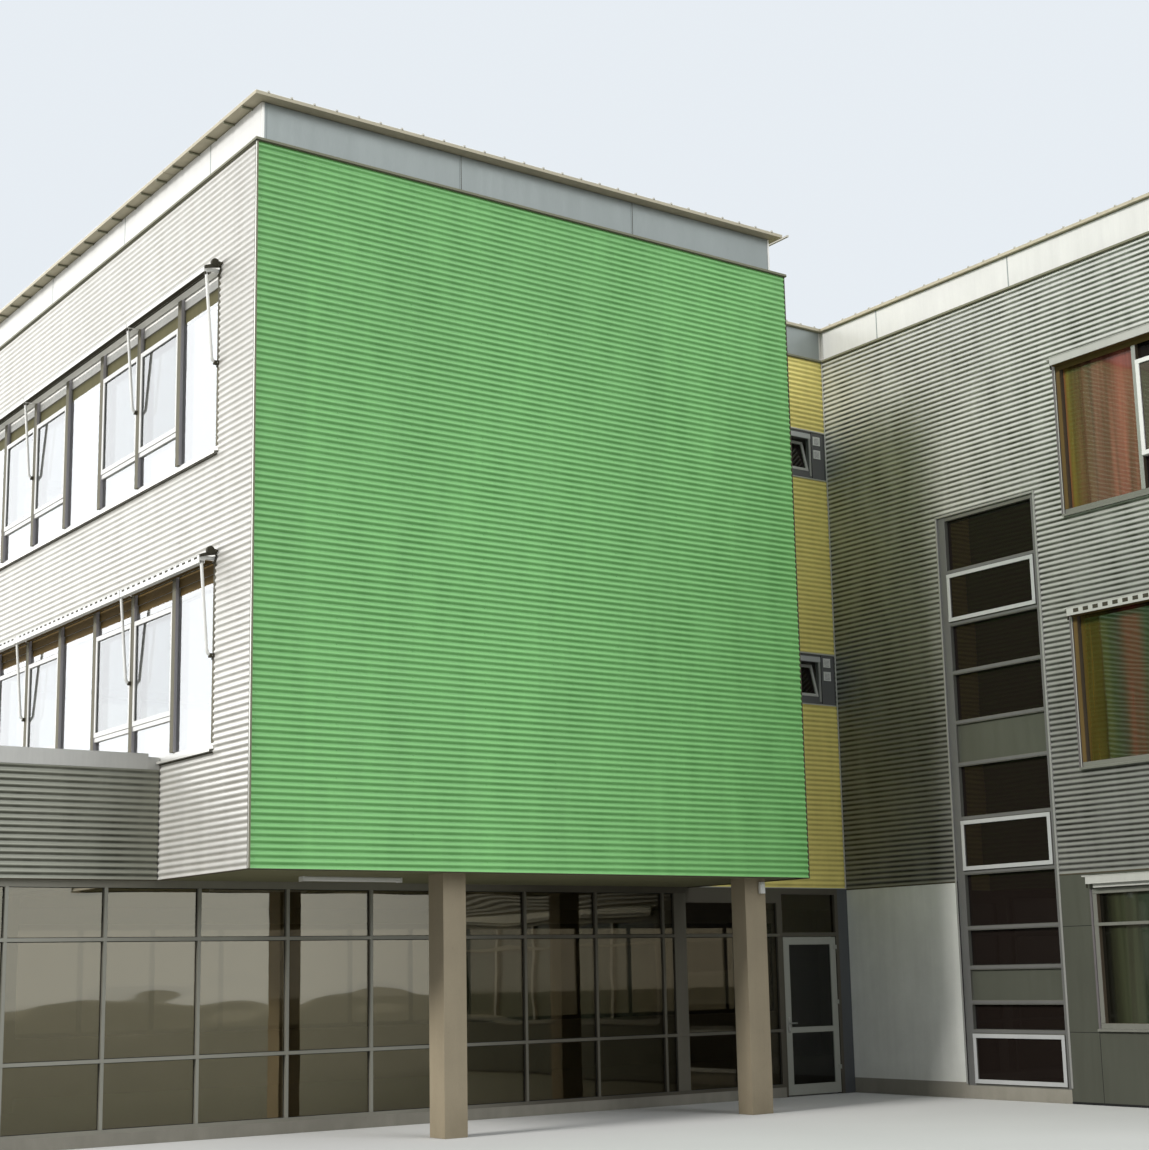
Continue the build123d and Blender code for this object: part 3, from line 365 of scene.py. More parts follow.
# Glass, and panes with a curtain behind them
SKY_GLASS = window_glass("bright glazing", (0.82, 0.85, 0.85), 2.5)
SASH_GLASS = window_glass("bright sash glazing", (0.82, 0.85, 0.85), 1.85)
# Painted reflection: warm tinted reflections, strongest towards the left and fading to the right.
GLASS = window_glass("tinted glazing", (0.36, 0.30, 0.20), 2.9, (1.0, 0.93, 0.74), (-5.5, 0.8, 1.5))
COURT_GLASS = window_glass("court glazing", (0.20, 0.17, 0.13), 1.5, clear=0.6)
STAIR_GLASS = window_glass("stair glazing", (0.018, 0.013, 0.011), 1.36, clear=0.35)
DARK_GLASS = window_glass("dark glazing", (0.20, 0.19, 0.17), 1.5)
RED_CURTAIN = curtained("upper curtained pane", [
    (-4.70, (0.16, 0.055, 0.04)), (-4.35, (0.21, 0.062, 0.048)), (-3.90, (0.115, 0.048, 0.036)),
    (-3.65, (0.12, 0.065, 0.03)), (-3.50, (0.14, 0.10, 0.02)), (-3.44, (0.16, 0.055, 0.025))])
GREEN_CURTAIN = curtained("lower curtained pane", [
    (-4.70, (0.010, 0.014, 0.006)), (-4.50, (0.022, 0.020, 0.010)), (-4.36, (0.085, 0.015, 0.011)),
    (-4.20, (0.085, 0.015, 0.011)), (-4.04, (0.020, 0.010, 0.008)), (-3.86, (0.040, 0.033, 0.008)),
    (-3.50, (0.070, 0.048, 0.010))])
ROOM_PANE = curtained("ground floor pane", [
    (-9.60, (0.030, 0.042, 0.028)), (-4.40, (0.024, 0.040, 0.028)), (-3.95, (0.034, 0.042, 0.024)),
    (-3.70, (0.030, 0.034, 0.018)), (-3.55, (0.006, 0.006, 0.004))])


# Mesh helpers
def placed(name, data):
    """A new object in the scene."""
    obj = bpy.data.objects.new(name, data)
    bpy.context.scene.collection.objects.link(obj)
    return obj


def piece(name, mesh):
    """A piece of the building, attached to the building's body."""
    obj = placed(name, mesh)
    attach(obj, "building")
    return obj


def flattened(obj):
    """The mesh that the object's modifiers or its curve make. The object itself goes."""
    graph = bpy.context.evaluated_depsgraph_get()
    mesh = bpy.data.meshes.new_from_object(obj.evaluated_get(graph), depsgraph=graph)
    bpy.data.objects.remove(obj)
    return mesh


def mesh_of(name, corners, faces, materials, picks=()):
    """A mesh from corners in plan coordinates. picks gives each face its material."""
    mesh = bpy.data.meshes.new(name)
    mesh.from_pydata([Vector(c) + ORIGIN for c in corners], [], faces)
    for material in materials:
        mesh.materials.append(material)
    for face, pick in zip(mesh.polygons, picks):
        face.material_index = pick
    mesh.update()
    return mesh


def turn_outwards(mesh):
    """Turns every face of closed bars outwards."""
    bm = bmesh.new()
    bm.from_mesh(mesh)
    bmesh.ops.recalc_face_normals(bm, faces=bm.faces)
    bm.to_mesh(mesh)
    bm.free()


def about(middle, half):
    """A pair of extents about a middle."""
    return middle - half, middle + half


def grown(pair, by):
    """A pair of extents moved apart, or together by a negative amount."""
    return pair[0] - by, pair[1] + by


class Bars:
    """Many small bevelled bars gathered in one mesh, each from its x, y and z pairs."""

    def __init__(self):
        self.corners, self.faces, self.picks = [], [], []

    def section(self, points, axis, start, end, pick=0):
        """A straight bar of any outline. points are pairs on the two other axes, taken in order."""
        first, count = len(self.corners), len(points)
        a, b = [n for n in range(3) if n != axis]
        for along in (start, end):
            for u, v in points:
                point = [0.0, 0.0, 0.0]
                point[axis], point[a], point[b] = along, u, v
                self.corners.append(point)
        self.faces.append([first + n for n in reversed(range(count))])
        self.faces.append([first + count + n for n in range(count)])
        for n in range(count):
            m = (n + 1) % count
            self.faces.append([first + n, first + m, first + count + m, first + count + n])
        self.picks += [pick] * (count + 2)

    def bar(self, x, y, z, chamfer=0.0015, pick=0):
        """A bar along its longest side, with the long edges chamfered."""
        low = [min(p) for p in (x, y, z)]
        high = [max(p) for p in (x, y, z)]
        size = [h - l for l, h in zip(low, high)]
        long = size.index(max(size))
        a, b = [n for n in range(3) if n != long]
        c = min(chamfer, 0.45 * min(size))
        ring = [(c, 0), (size[a] - c, 0), (size[a], c), (size[a], size[b] - c),
                (size[a] - c, size[b]), (c, size[b]), (0, size[b] - c), (0, c)]
        # Seen along Y, the two other axes turn the other way round.
        if long == 1:
            ring.reverse()
        self.section([(low[a] + u, low[b] + v) for u, v in ring], long, low[long], high[long], pick)

    def course(self, plan, z, chamfer=0.0015, pick=0):
        """Bars at one level, each from its x and y pairs."""
        for x, y in plan:
            self.bar(x, y, z, chamfer, pick)

    def ring(self, place, u, depth, z, width, chamfer=0.0015, pick=0):
        """Four bars round a pane or an opening, inside the extents u and z on a wall."""
        for level in ((z[0], z[0] + width), (z[1] - width, z[1])):
            self.bar(*place(u, depth, level), chamfer, pick)
        for side in ((u[0], u[0] + width), (u[1] - width, u[1])):
            self.bar(*place(side, depth, grown(z, -width)), chamfer, pick)

    def make(self, name, materials, slot):
        mesh = mesh_of(name, self.corners, self.faces, materials, self.picks)
        turn_outwards(mesh)
        return piece(name, mesh)


def joined(name, meshes, thickness=0.0):
    """One piece from several meshes, given a thickness inwards where asked."""
    bm = bmesh.new()
    for mesh in meshes:
        bm.from_mesh(mesh)
    whole = bpy.data.meshes.new(name)
    bm.to_mesh(whole)
    bm.free()
    for material in meshes[0].materials:
        whole.materials.append(material)
    for mesh in meshes:
        bpy.data.meshes.remove(mesh)
    if thickness:
        holder = placed(name, whole)
        wall = holder.modifiers.new("thickness", "SOLIDIFY")
        wall.thickness = thickness
        wall.offset = -1
        whole = flattened(holder)
        whole.set_sharp_from_angle(angle=math.radians(60))
    return piece(name, whole)


# Node trees
class Tree:
    """A Geometry Nodes tree with named inputs."""

    def __init__(self, name, inputs):
        self.group = bpy.data.node_groups.new(name, "GeometryNodeTree")
        self.group.interface.new_socket("Geometry", in_out="OUTPUT", socket_type="NodeSocketGeometry")
        self.sockets = {}
        for label, kind in inputs:
            self.sockets[label] = self.group.interface.new_socket(
                label, in_out="INPUT", socket_type="NodeSocket" + kind)
        self.source = self.group.nodes.new("NodeGroupInput")
        self.sink = self.group.nodes.new("NodeGroupOutput")

    def get(self, label):
        return self.source.outputs[label]

    def add(self, kind, inputs=(), **settings):
        node = self.group.nodes.new(kind)
        for key, value in settings.items():
            setattr(node, key, value)
        for key, value in dict(inputs).items():
            if isinstance(value, bpy.types.NodeSocket):
                self.group.links.new(value, node.inputs[key])
            else:
                node.inputs[key].default_value = value
        return node

    def calc(self, operation, a, b=0.0):
        return self.add("ShaderNodeMath", {0: a, 1: b}, operation=operation).outputs[0]

    def vector(self, operation, a, b=None, scale=None):
        inputs = {0: a}
        if b is not None:
            inputs[1] = b
        if scale is not None:
            inputs["Scale"] = scale
        return self.add("ShaderNodeVectorMath", inputs, operation=operation).outputs[0]

    def end(self, geometry):
        real = self.add("GeometryNodeRealizeInstances", {"Geometry": geometry})
        paint = self.add("GeometryNodeSetMaterial", {"Geometry": real.outputs[0],
                                                     "Material": self.get("Material")})
        self.group.links.new(paint.outputs[0], self.sink.inputs[0])
        return self

    def field(self):
        """A unit grid laid on a wall: its mesh, how far each corner is run along, and its rise."""
        grid = self.add("GeometryNodeMeshGrid", {
            "Size X": 1.0, "Size Y": 1.0, "Vertices X": self.get("Columns"), "Vertices Y": self.get("Rows")})
        place = self.add("GeometryNodeInputPosition").outputs[0]
        parts = self.add("ShaderNodeSeparateXYZ", {0: place})
        across = self.calc("ADD", parts.outputs[0], 0.5)
        rise = self.calc("MULTIPLY", self.calc("ADD", parts.outputs[1], 0.5), self.get("Height"))
        run = self.vector("SCALE", self.get("Along"), scale=across)
        return grid.outputs[0], run, rise

    def grow(self, values):
        """The tree's mesh for these inputs."""
        holder = placed("holder", bpy.data.meshes.new("holder"))
        modifier = holder.modifiers.new("tree", "NODES")
        modifier.node_group = self.group
        for label, value in values.items():
            modifier[self.sockets[label].identifier] = value
        return flattened(holder)


def wave_tree():
    """A wavy sheet: a grid laid on the wall and pushed back by a cosine of its height."""
    t = Tree("wavy sheet", [("Start", "Vector"), ("Along", "Vector"), ("Height", "Float"),
                            ("Outward", "Vector"), ("Bottom", "Float"), ("Pitch", "Float"),
                            ("Depth", "Float"), ("Columns", "Int"), ("Rows", "Int"),
                            ("Material", "Material")])
    grid, run, rise = t.field()
    start = t.add("ShaderNodeSeparateXYZ", {0: t.get("Start")})
    level = t.calc("ADD", rise, start.outputs[2])
    turns = t.calc("DIVIDE", t.calc("SUBTRACT", level, t.get("Bottom")), t.get("Pitch"))
    wave = t.calc("COSINE", t.calc("MULTIPLY", turns, math.tau))
    back = t.calc("MULTIPLY", t.calc("SUBTRACT", wave, 1.0), t.calc("MULTIPLY", t.get("Depth"), 0.5))
    up = t.add("ShaderNodeCombineXYZ", {2: rise}).outputs[0]
    push = t.vector("SCALE", t.get("Outward"), scale=back)
    point = t.vector("ADD", t.vector("ADD", t.get("Start"), run), t.vector("ADD", up, push))
    moved = t.add("GeometryNodeSetPosition", {"Geometry": grid, "Position": point})
    smooth = t.add("GeometryNodeSetShadeSmooth", {"Geometry": moved.outputs[0]})
    return t.end(smooth.outputs[0])


def screw_tree():
    """Rows of washered screw heads on a wall."""
    t = Tree("screw rows", [("Start", "Vector"), ("Along", "Vector"), ("Height", "Float"),
                            ("Outward", "Vector"), ("Columns", "Int"), ("Rows", "Int"),
                            ("Radius", "Float"), ("Material", "Material")])
    grid, run, rise = t.field()
    up = t.add("ShaderNodeCombineXYZ", {2: rise}).outputs[0]
    point = t.vector("ADD", t.vector("ADD", t.get("Start"), run), up)
    points = t.add("GeometryNodeMeshToPoints", {"Mesh": grid, "Position": point})
    thick, top, base, high = [t.calc("MULTIPLY", t.get("Radius"), share) for share in (0.4, 0.42, 0.55, 0.9)]
    washer = t.add("GeometryNodeMeshCylinder", {"Vertices": 10, "Radius": t.get("Radius"), "Depth": thick})
    head = t.add("GeometryNodeMeshCone", {"Vertices": 6, "Radius Top": top, "Radius Bottom": base,
                                          "Depth": high})
    both = t.add("GeometryNodeJoinGeometry")
    t.group.links.new(washer.outputs[0], both.inputs[0])
    t.group.links.new(head.outputs[0], both.inputs[0])
    turn = t.add("FunctionNodeAlignRotationToVector", {"Vector": t.get("Outward")}, axis="Z")
    many = t.add("GeometryNodeInstanceOnPoints", {"Points": points.outputs[0],
                                                  "Instance": both.outputs[0],
                                                  "Rotation": turn.outputs[0]})
    return t.end(many.outputs[0])


def repeat_tree():
    """A bar of the given size repeated along a line, its upper edges rounded off."""
    t = Tree("repeated bar", [("Start", "Vector"), ("Step", "Vector"), ("Count", "Int"), ("Run", "Vector"),
                              ("Width", "Float"), ("Height", "Float"), ("Round", "Float"),
                              ("Material", "Material")])
    row = t.add("GeometryNodeMeshLine", {"Count": t.get("Count"), "Start Location": t.get("Start"),
                                         "Offset": t.get("Step")})
    points = t.add("GeometryNodeMeshToPoints", {"Mesh": row.outputs[0]})
    line = t.add("GeometryNodeCurvePrimitiveLine", {"End": t.get("Run")})
    outline = t.add("GeometryNodeCurvePrimitiveQuadrilateral", {"Width": t.get("Width"),
                                                                "Height": t.get("Height")})
    soft = t.add("GeometryNodeFilletCurve", {"Curve": outline.outputs[0], "Count": 2,
                                             "Radius": t.get("Round")}, mode="POLY")
    bar = t.add("GeometryNodeCurveToMesh", {"Curve": line.outputs[0], "Profile Curve": soft.outputs[0],
                                            "Fill Caps": True})
    many = t.add("GeometryNodeInstanceOnPoints", {"Points": points.outputs[0],
                                                  "Instance": bar.outputs[0]})
    return t.end(many.outputs[0])


WAVES, SCREWS, REPEAT = wave_tree(), screw_tree(), repeat_tree()


# Wavy sheets
def patches(run, z, windows):
    """The rectangles of a wall that are left round its windows, as (run, z) pairs."""
    if not windows:
        return [(run, z)]
    left = min(w[0][0] for w in windows)
    right = max(w[0][1] for w in windows)
    out = []
    if left > run[0]:
        out.append(((run[0], left), z))
    if right < run[1]:
        out.append(((right, run[1]), z))
    level = z[0]
    for (_, band) in sorted(windows, key=lambda w: w[1][0]):
        if band[0] > level + 0.01:
            out.append(((left, right), (level, band[0])))
        level = band[1]
    if level < z[1]:
        out.append(((left, right), (level, z[1])))
    return out


def on_wall(outward, face, run, level):
    """Start corner and along vector of a patch, so that along x up points outwards."""
    along = UP.cross(outward)
    if abs(along.x) > 0.5:
        ends = run if along.x > 0 else run[::-1]
        start = Vector((ends[0], face, level))
    else:
        ends = run if along.y > 0 else run[::-1]
        start = Vector((face, ends[0], level))
    return start + ORIGIN, along * abs(run[1] - run[0])


def wall_sheet(outward, face, run, z, windows, material):
    """Wavy sheets round a wall's windows, eight rows of faces to a wave."""
    meshes = []
    for part, (low, high) in patches(run, z, windows):
        start, along = on_wall(outward, face, part, low)
        rows = max(3, round((high - low) / PITCH * 8) + 1)
        meshes.append(WAVES.grow({"Start": start, "Along": along, "Height": high - low, "Outward": outward,
                                  "Bottom": COVER, "Pitch": PITCH, "Depth": DEPTH, "Rows": rows,
                                  "Columns": max(2, round(along.length / 2.2) + 1), "Material": material}))
    return meshes


def wall_screws(outward, face, run, z, windows, material):
    """Screws in the troughs, about a metre apart and every fourth wave."""
    trough, clear, step, inset, sunk = 0.5, 0.6, 4, 0.06, 0.001
    meshes = []
    for part, (low, high) in patches(run, z, windows):
        first = math.ceil((low - COVER) / PITCH - trough + clear)
        last = math.floor((high - COVER) / PITCH - trough - clear)
        rows = (last - first) // step + 1
        width = part[1] - part[0]
        if rows < 2 or width < 0.2:
            continue
        start, along = on_wall(outward, face, grown(part, -inset), COVER + (first + trough) * PITCH)
        meshes.append(SCREWS.grow({"Start": start - outward * (DEPTH - sunk), "Along": along,
                                   "Height": (rows - 1) * step * PITCH, "Outward": outward,
                                   "Columns": max(2, round(width - 2 * inset) + 1), "Rows": rows,
                                   "Radius": 0.0095, "Material": material}))
    return meshes


FRONT, LEFT, BACK, RIGHT = Vector((0, -1, 0)), Vector((-1, 0, 0)), Vector((0, 1, 0)), Vector((1, 0, 0))
# What the sheets leave free at a corner for its strip, and the fold between the court wall's sheets.
CORNER, COURT_SPLIT = 0.014, -1.75


def ribbons(edges):
    """The openings that a wall's ribbon windows leave in its sheets."""
    return [((min(edges), max(edges)), level) for level in BANDS]


upper, low_part = (COVER, CLAD_TOP), (COVER, ANNEX_TOP - 0.19)
stair_opening = [((STAIR_NEAR, STAIR_FAR), (COVER - 0.1, STAIR_HEAD))]
unit_openings = [((UNIT_L, WING_L), level) for level in UNITS]

# Each piece's node, slot and finish, then its walls: outward, face, run, z, openings.
WALLS = {
    "green_sheets": ("green_cladding", "green_sheet", GREEN, [
        (FRONT, 0.0, (CORNER, BOX_W - CORNER), upper, []),
        (RIGHT, BOX_W, (CORNER, BOX_D + 0.02), upper, [])]),
    "left_sheets": ("left_cladding", "silver_sheet", BRIGHT_SILVER, [
        (LEFT, 0.0, (CORNER, MAIN_B - CORNER), upper, ribbons(LEFT_EDGES))]),
    "yellow_sheets": ("yellow_cladding", "yellow_sheet", YELLOW, [
        (FRONT, BOX_D, (BOX_W + 0.003, WING_L - 0.003), upper, unit_openings)]),
    "court_sheets": ("court_cladding", "silver_sheet", COURT_SILVER, [
        (LEFT, WING_L, (WING_F + CORNER, COURT_SPLIT), upper, ribbons(WING_EDGES)),
        (LEFT, WING_L, (COURT_SPLIT, BOX_D + 0.02), upper, stair_opening)]),
    "outer_sheets": ("outer_cladding", "silver_sheet", SILVER, [
        (BACK, MAIN_B, (CORNER, MAIN_W - CORNER), upper, ribbons(REAR_EDGES)),
        (RIGHT, MAIN_W, (WING_F + CORNER, MAIN_B - CORNER), upper, ribbons(RIGHT_EDGES)),
        (FRONT, WING_F, (WING_L + CORNER, MAIN_W - CORNER), upper, [])]),
    "annex_sheets": ("annex_cladding", "silver_sheet", ANNEX_SILVER, [
        (FRONT, ANNEX_F, (ANNEX_L + CORNER, 0.0), low_part, []),
        (LEFT, ANNEX_L, (ANNEX_F + CORNER, ANNEX_B - CORNER), low_part, []),
        (BACK, ANNEX_B, (ANNEX_L + CORNER, 0.0), low_part, [])]),
}
for name, (node, slot, material, faces) in WALLS.items():
    sheets, screws = [], []
    for wall in faces:
        sheets += wall_sheet(*wall, material)
        screws += wall_screws(*wall, material)
    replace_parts(joined(name, sheets, thickness=0.0012), node)
    joined(name.replace("sheets", "screws"), screws)


# Carried-over solids
FINISHES = {
    "ground_floor_slabs": SLAB, "first_floor_slabs": SLAB, "upper_slabs": SLAB, "annex_roof": SLAB,
    "roof_plates": EAVE, "fascia_panels": FASCIA, "cladding_trims": TRIM_AND_SHADE, "annex_cap": CAP,
    "box_walls": PLASTER, "left_wall": PLASTER, "yellow_wall": PLASTER, "rear_wall": PLASTER,
    "right_wall": PLASTER, "wing_front_wall": PLASTER, "court_wall": PLASTER, "annex_walls": PLASTER,
    "white_plaster_wall": PLASTER, "terrace_plinths": PLINTH, "terrace_columns": CONCRETE,
    "terrace_end_panel": DARK, "box_soffit": SOFFIT, "court_base_panels": BASE_PANEL,
    "left_window_frames": LEFT_FRAMES, "left_window_glass": SKY_GLASS,
    "court_window_frames": COURT_FRAMES, "court_window_glass": STAIR_GLASS,
    "outer_window_frames": OUTER_FRAMES, "outer_window_glass": DARK_GLASS,
    "stair_window_frame": STAIR_FRAMES, "stair_window_panels": STAIR_PANEL,
    "yellow_window_units": UNIT_PANEL, "yellow_window_sashes": AWNING,
    "terrace_glazing_frame": TERRACE_FRAMES, "terrace_glass": GLASS,
    "door_frame": TERRACE_FRAMES, "door_leaf": DOOR_PAINT, "door_glass": DARK_GLASS, "door_handle": STEEL,
    "awning_boxes": AWNING, "awning_arms": TUBE,
}
for name, material in FINISHES.items():
    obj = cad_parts[name]
    if not obj.material_slots:
        obj.data.materials.append(material)
    for slot in obj.material_slots:
        slot.link = "OBJECT"
        slot.material = material


# Folded trims
RISE, PROUD, LAP = 0.04, 0.02, 0.107


def folded_trims():
    """The ledge over the sheets, the narrow corner strips and the strips under the sheets."""
    ledge, light, dark = Bars(), Bars(), Bars()
    left, right = -PROUD, BOX_W + PROUD
    wing, wing_lap, front = WING_L - PROUD, WING_L + LAP, WING_F - PROUD
    ledge.course((((left, right), (-PROUD, LAP)),
                  ((left, LAP), (LAP, MAIN_B + PROUD)),
                  ((BOX_W - 0.172, right), (LAP, BOX_D + LAP)),
                  ((right, wing_lap), (BOX_D - PROUD, BOX_D + LAP)),
                  ((wing, wing_lap), (front, BOX_D - PROUD)),
                  ((wing_lap, MAIN_W + PROUD), (front, WING_F + LAP)),
                  ((MAIN_W - LAP, MAIN_W + PROUD), (WING_F + LAP, MAIN_B - LAP)),
                  ((LAP, MAIN_W + PROUD), (MAIN_B - LAP, MAIN_B + PROUD))),
                 (CLAD_TOP, CLAD_TOP + RISE), 0.006)
    level, strip = (COVER, CLAD_TOP - 0.003), 0.016
    ledge.course([((x, x + dx * strip), (y, y + dy * strip)) for x, y, dx, dy in (
        (BOX_W, 0, -1, 1), (0, MAIN_B, 1, -1), (MAIN_W, MAIN_B, -1, -1), (WING_L, WING_F, 1, 1),
        (MAIN_W, WING_F, -1, 1))], level, 0.003, 1)
    ledge.course((((left, right), (-PROUD - 0.001, -0.011)),
                  ((left - 0.001, -0.011), (-PROUD, MAIN_B + PROUD)),
                  ((right, wing), (BOX_D - PROUD - 0.001, BOX_D - 0.011)),
                  ((wing - 0.001, WING_L - 0.011), (front, BOX_D - PROUD))),
                 (CLAD_TOP, CLAD_TOP + 0.008), 0.0005, 1)
    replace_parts(ledge.make("ledge_and_corner_strips", [LEDGE, TRIM_AND_SHADE], "dark_trim"), "cladding_trims")

    # The near corner's strip: an olive core and face, a light face on the sunny side, a dark fold.
    plate = 0.004
    light.bar((0.0, CORNER), (0.0, CORNER), level, 0.003, 1)
    light.bar((-plate, 0.018), (-plate, 0.0), level, 0.001, 1)
    light.bar((-plate, 0.0), (0.0, 0.026), level, 0.001)
    light.bar((-0.005, 0.0), (0.026, 0.034), level, 0.001, 2)
    light.bar((BOX_W - 0.25, WING_L - 0.002), about(BOX_D, 0.012), (COVER - 0.022, COVER + 0.012))
    light.bar((WING_L - 0.012, WING_L + 0.006), (BOX_D - 0.014, BOX_D - 0.002), level, 0.002)
    light.make("light_strips", [STRIP, LEDGE, TRIM_AND_SHADE], "cap_light")

    deep, court = 0.04, (WING_L - 0.006, WING_L + 0.04)
    thin, thick = (COVER - 0.012, COVER), (COVER - 0.02, COVER)
    dark.course((((0.0, BOX_W), (0.0, deep)), ((BOX_W - deep, BOX_W), (deep, BOX_D))), thin, 0.003)
    dark.course(((court, (STAIR_FAR, BOX_D - 0.015)), (court, (WING_F + 0.05, STAIR_NEAR))), thick, 0.003)
    dark.course((((0.0, deep), (deep, ANNEX_F)), ((ANNEX_L, -plate), (ANNEX_F, ANNEX_F + deep))), thin, 0.003)
    dark.make("sheet_feet", [TRIM_AND_SHADE], "dark_trim")


def joints(first, count):
    """Places of the joints between the fascia's panels, which are 2.7 m long."""
    return [first + 2.7 * n for n in range(count)]


def fascia_details():
    """Cover strips over the fascia's joints, pale faces on its sunny sides that are painted light, light
    angles at its corners.
    """
    z = (CLAD_TOP + RISE, FASCIA_TOP)
    back, side, plate, half, leg = 0.11, BOX_W - 0.175, 0.004, 0.012, 0.03
    face, wing, link = back - plate, WING_L + back, BOX_D + back
    bars, light = Bars(), Bars()
    for x in joints(2.85, 2):
        bars.bar(about(x, half), (face, back), z)
        bars.bar((x + 0.004, x + 0.013), (back - 0.005, back), z, 0.0005, 2)
    bars.course([((face, back), about(y, half)) for y in joints(1.52, 4)], z)
    bars.course([((wing - plate, wing), about(y, half)) for y in joints(-6.7, 4)], z)
    bars.course([(about(x, half), (MAIN_B - back, MAIN_B - face)) for x in joints(2.8, 6)], z)
    bars.course([((MAIN_W - back, MAIN_W - face), about(y, half)) for y in joints(-6.7, 7)], z)
    # Pale faces on the left and the court sides, painted light.
    bars.bar((back - 0.003, back), (back + 0.03, MAIN_B - back - 0.002), z, 0.001, 1)
    bars.bar((wing - 0.003, wing), (WING_F + back + 0.002, link - 0.055), z, 0.001, 1)
    bars.make("fascia_joints", [FASCIA, PALE_FASCIA, CASTING_AND_SHADE], "grey_panel")
    light.course((((face, back + leg), (face, back)),
                  ((face, back), (back, back + leg)),
                  ((side - leg, side + 0.003), (face, back)),
                  ((wing - 0.05, wing), (link - plate, link)),
                  ((wing - plate, wing), (link - 0.05, link - plate))), z)
    light.make("fascia_corners", [STRIP], "cap_light")


def roof_details():
    """Standing seams and the rim of the roof sheet, light as a painted highlight of its sunlit edge, and the
    brackets under the left eave.
    """
    top, gap = ROOF_TOP + 0.012, 0.3
    across, along = Vector((gap, 0, 0)), Vector((0, gap, 0))
    seams = [REPEAT.grow({"Start": Vector((x, y, top)) + ORIGIN, "Step": step, "Count": count,
                          "Run": Vector(run), "Width": 0.028, "Height": 0.034, "Round": 0.009,
                          "Material": ROOF})
             for x, y, step, count, run in ((0.12, -0.045, across, 28, (0, 11.99, 0)),
                                            (8.48, 2.62, across, 36, (0, 9.325, 0)),
                                            (11.29, -9.30, along, 40, (7.99, 0, 0)))]
    joined("roof_seams", seams)
    # The rim stands out past the walls and in over the roof. The roof's inner corner is at the notch.
    # The rim is a painted highlight: light trim where the roof sheet's edge catches the sun.
    rim, out, inn, notch = Bars(), 0.045, 0.03, 2.62
    rim.course((((-out, BOX_W - 0.05), (-out, inn)),
                ((-out, inn), (inn, MAIN_B + out)),
                ((BOX_W - 0.125, BOX_W - 0.05), (inn, notch)),
                ((BOX_W - 0.05, WING_L + 0.125), (notch, notch + 0.075)),
                ((WING_L + 0.05, WING_L + 0.125), (WING_F - out, notch)),
                ((WING_L + 0.125, MAIN_W + out), (WING_F - out, WING_F + inn)),
                ((MAIN_W - inn, MAIN_W + out), (WING_F + inn, MAIN_B + out)),
                ((inn, MAIN_W - inn), (MAIN_B - inn, MAIN_B + out))), (ROOF_TOP, ROOF_TOP + 0.008))
    rim.make("roof_rim", [STRIP], "cap_light")
    brackets = REPEAT.grow({"Start": Vector((-0.04, 0.35, ROOF_TOP - 0.055)) + ORIGIN,
                            "Step": Vector((0, 0.5, 0)), "Count": 24, "Run": Vector((0.145, 0, 0)),
                            "Width": 0.03, "Height": 0.02, "Round": 0.005, "Material": LEDGE})
    joined("eave_brackets", [brackets])


# Windows
# A frame's outer members and half a post; their caps, a little narrower; the caps' depth.
RIM, POST = 0.07, 0.035
RIM_CAP, POST_CAP, SKIN = 0.068, 0.033, (0.0, 0.008)


def wall_place(face, out, along_y=True):
    """place(u, d, z) of a wall, which turns extents along it, outwards and up into x, y and z pairs.
    d counts from the window frames, which stand 20 mm behind the crests of the sheets."""
    def place(u, d, z):
        depth = tuple(face + out * (n - 0.02) for n in d)
        return (depth, u, z) if along_y else (u, depth, z)
    return place


on_left, on_court, on_right = wall_place(0.0, -1), wall_place(WING_L, -1), wall_place(MAIN_W, 1)
on_rear, on_link = wall_place(MAIN_B, 1, False), wall_place(BOX_D, -1, False)


def bays(edges):
    """The clear width of each bay between its posts, in the order of the edges."""
    low, high = min(edges), max(edges)
    pairs = [sorted(pair) for pair in zip(edges[:-1], edges[1:])]
    return [(a + (RIM if a == low else POST), b - (RIM if b == high else POST)) for a, b in pairs]


def opening_sashes(edges):
    """The bays that open: two of every three, after the fixed first one."""
    return [n for n in range(len(edges) - 1) if n % 3]


def sill(bars, face, out, edges, level, beyond=0.02, along_y=True):
    """A folded sill: slopes out over the sheet, turns down and ends in a drip."""
    inner, lip, drip = face - out * 0.03, face + out * 0.045, face + out * 0.041
    points = [(inner, level + 0.006), (lip, level - 0.006), (lip, level - 0.034),
              (drip, level - 0.034), (drip, level - 0.012), (inner, level)]
    bars.section(points, 1 if along_y else 0, min(edges) - beyond, max(edges) + beyond)


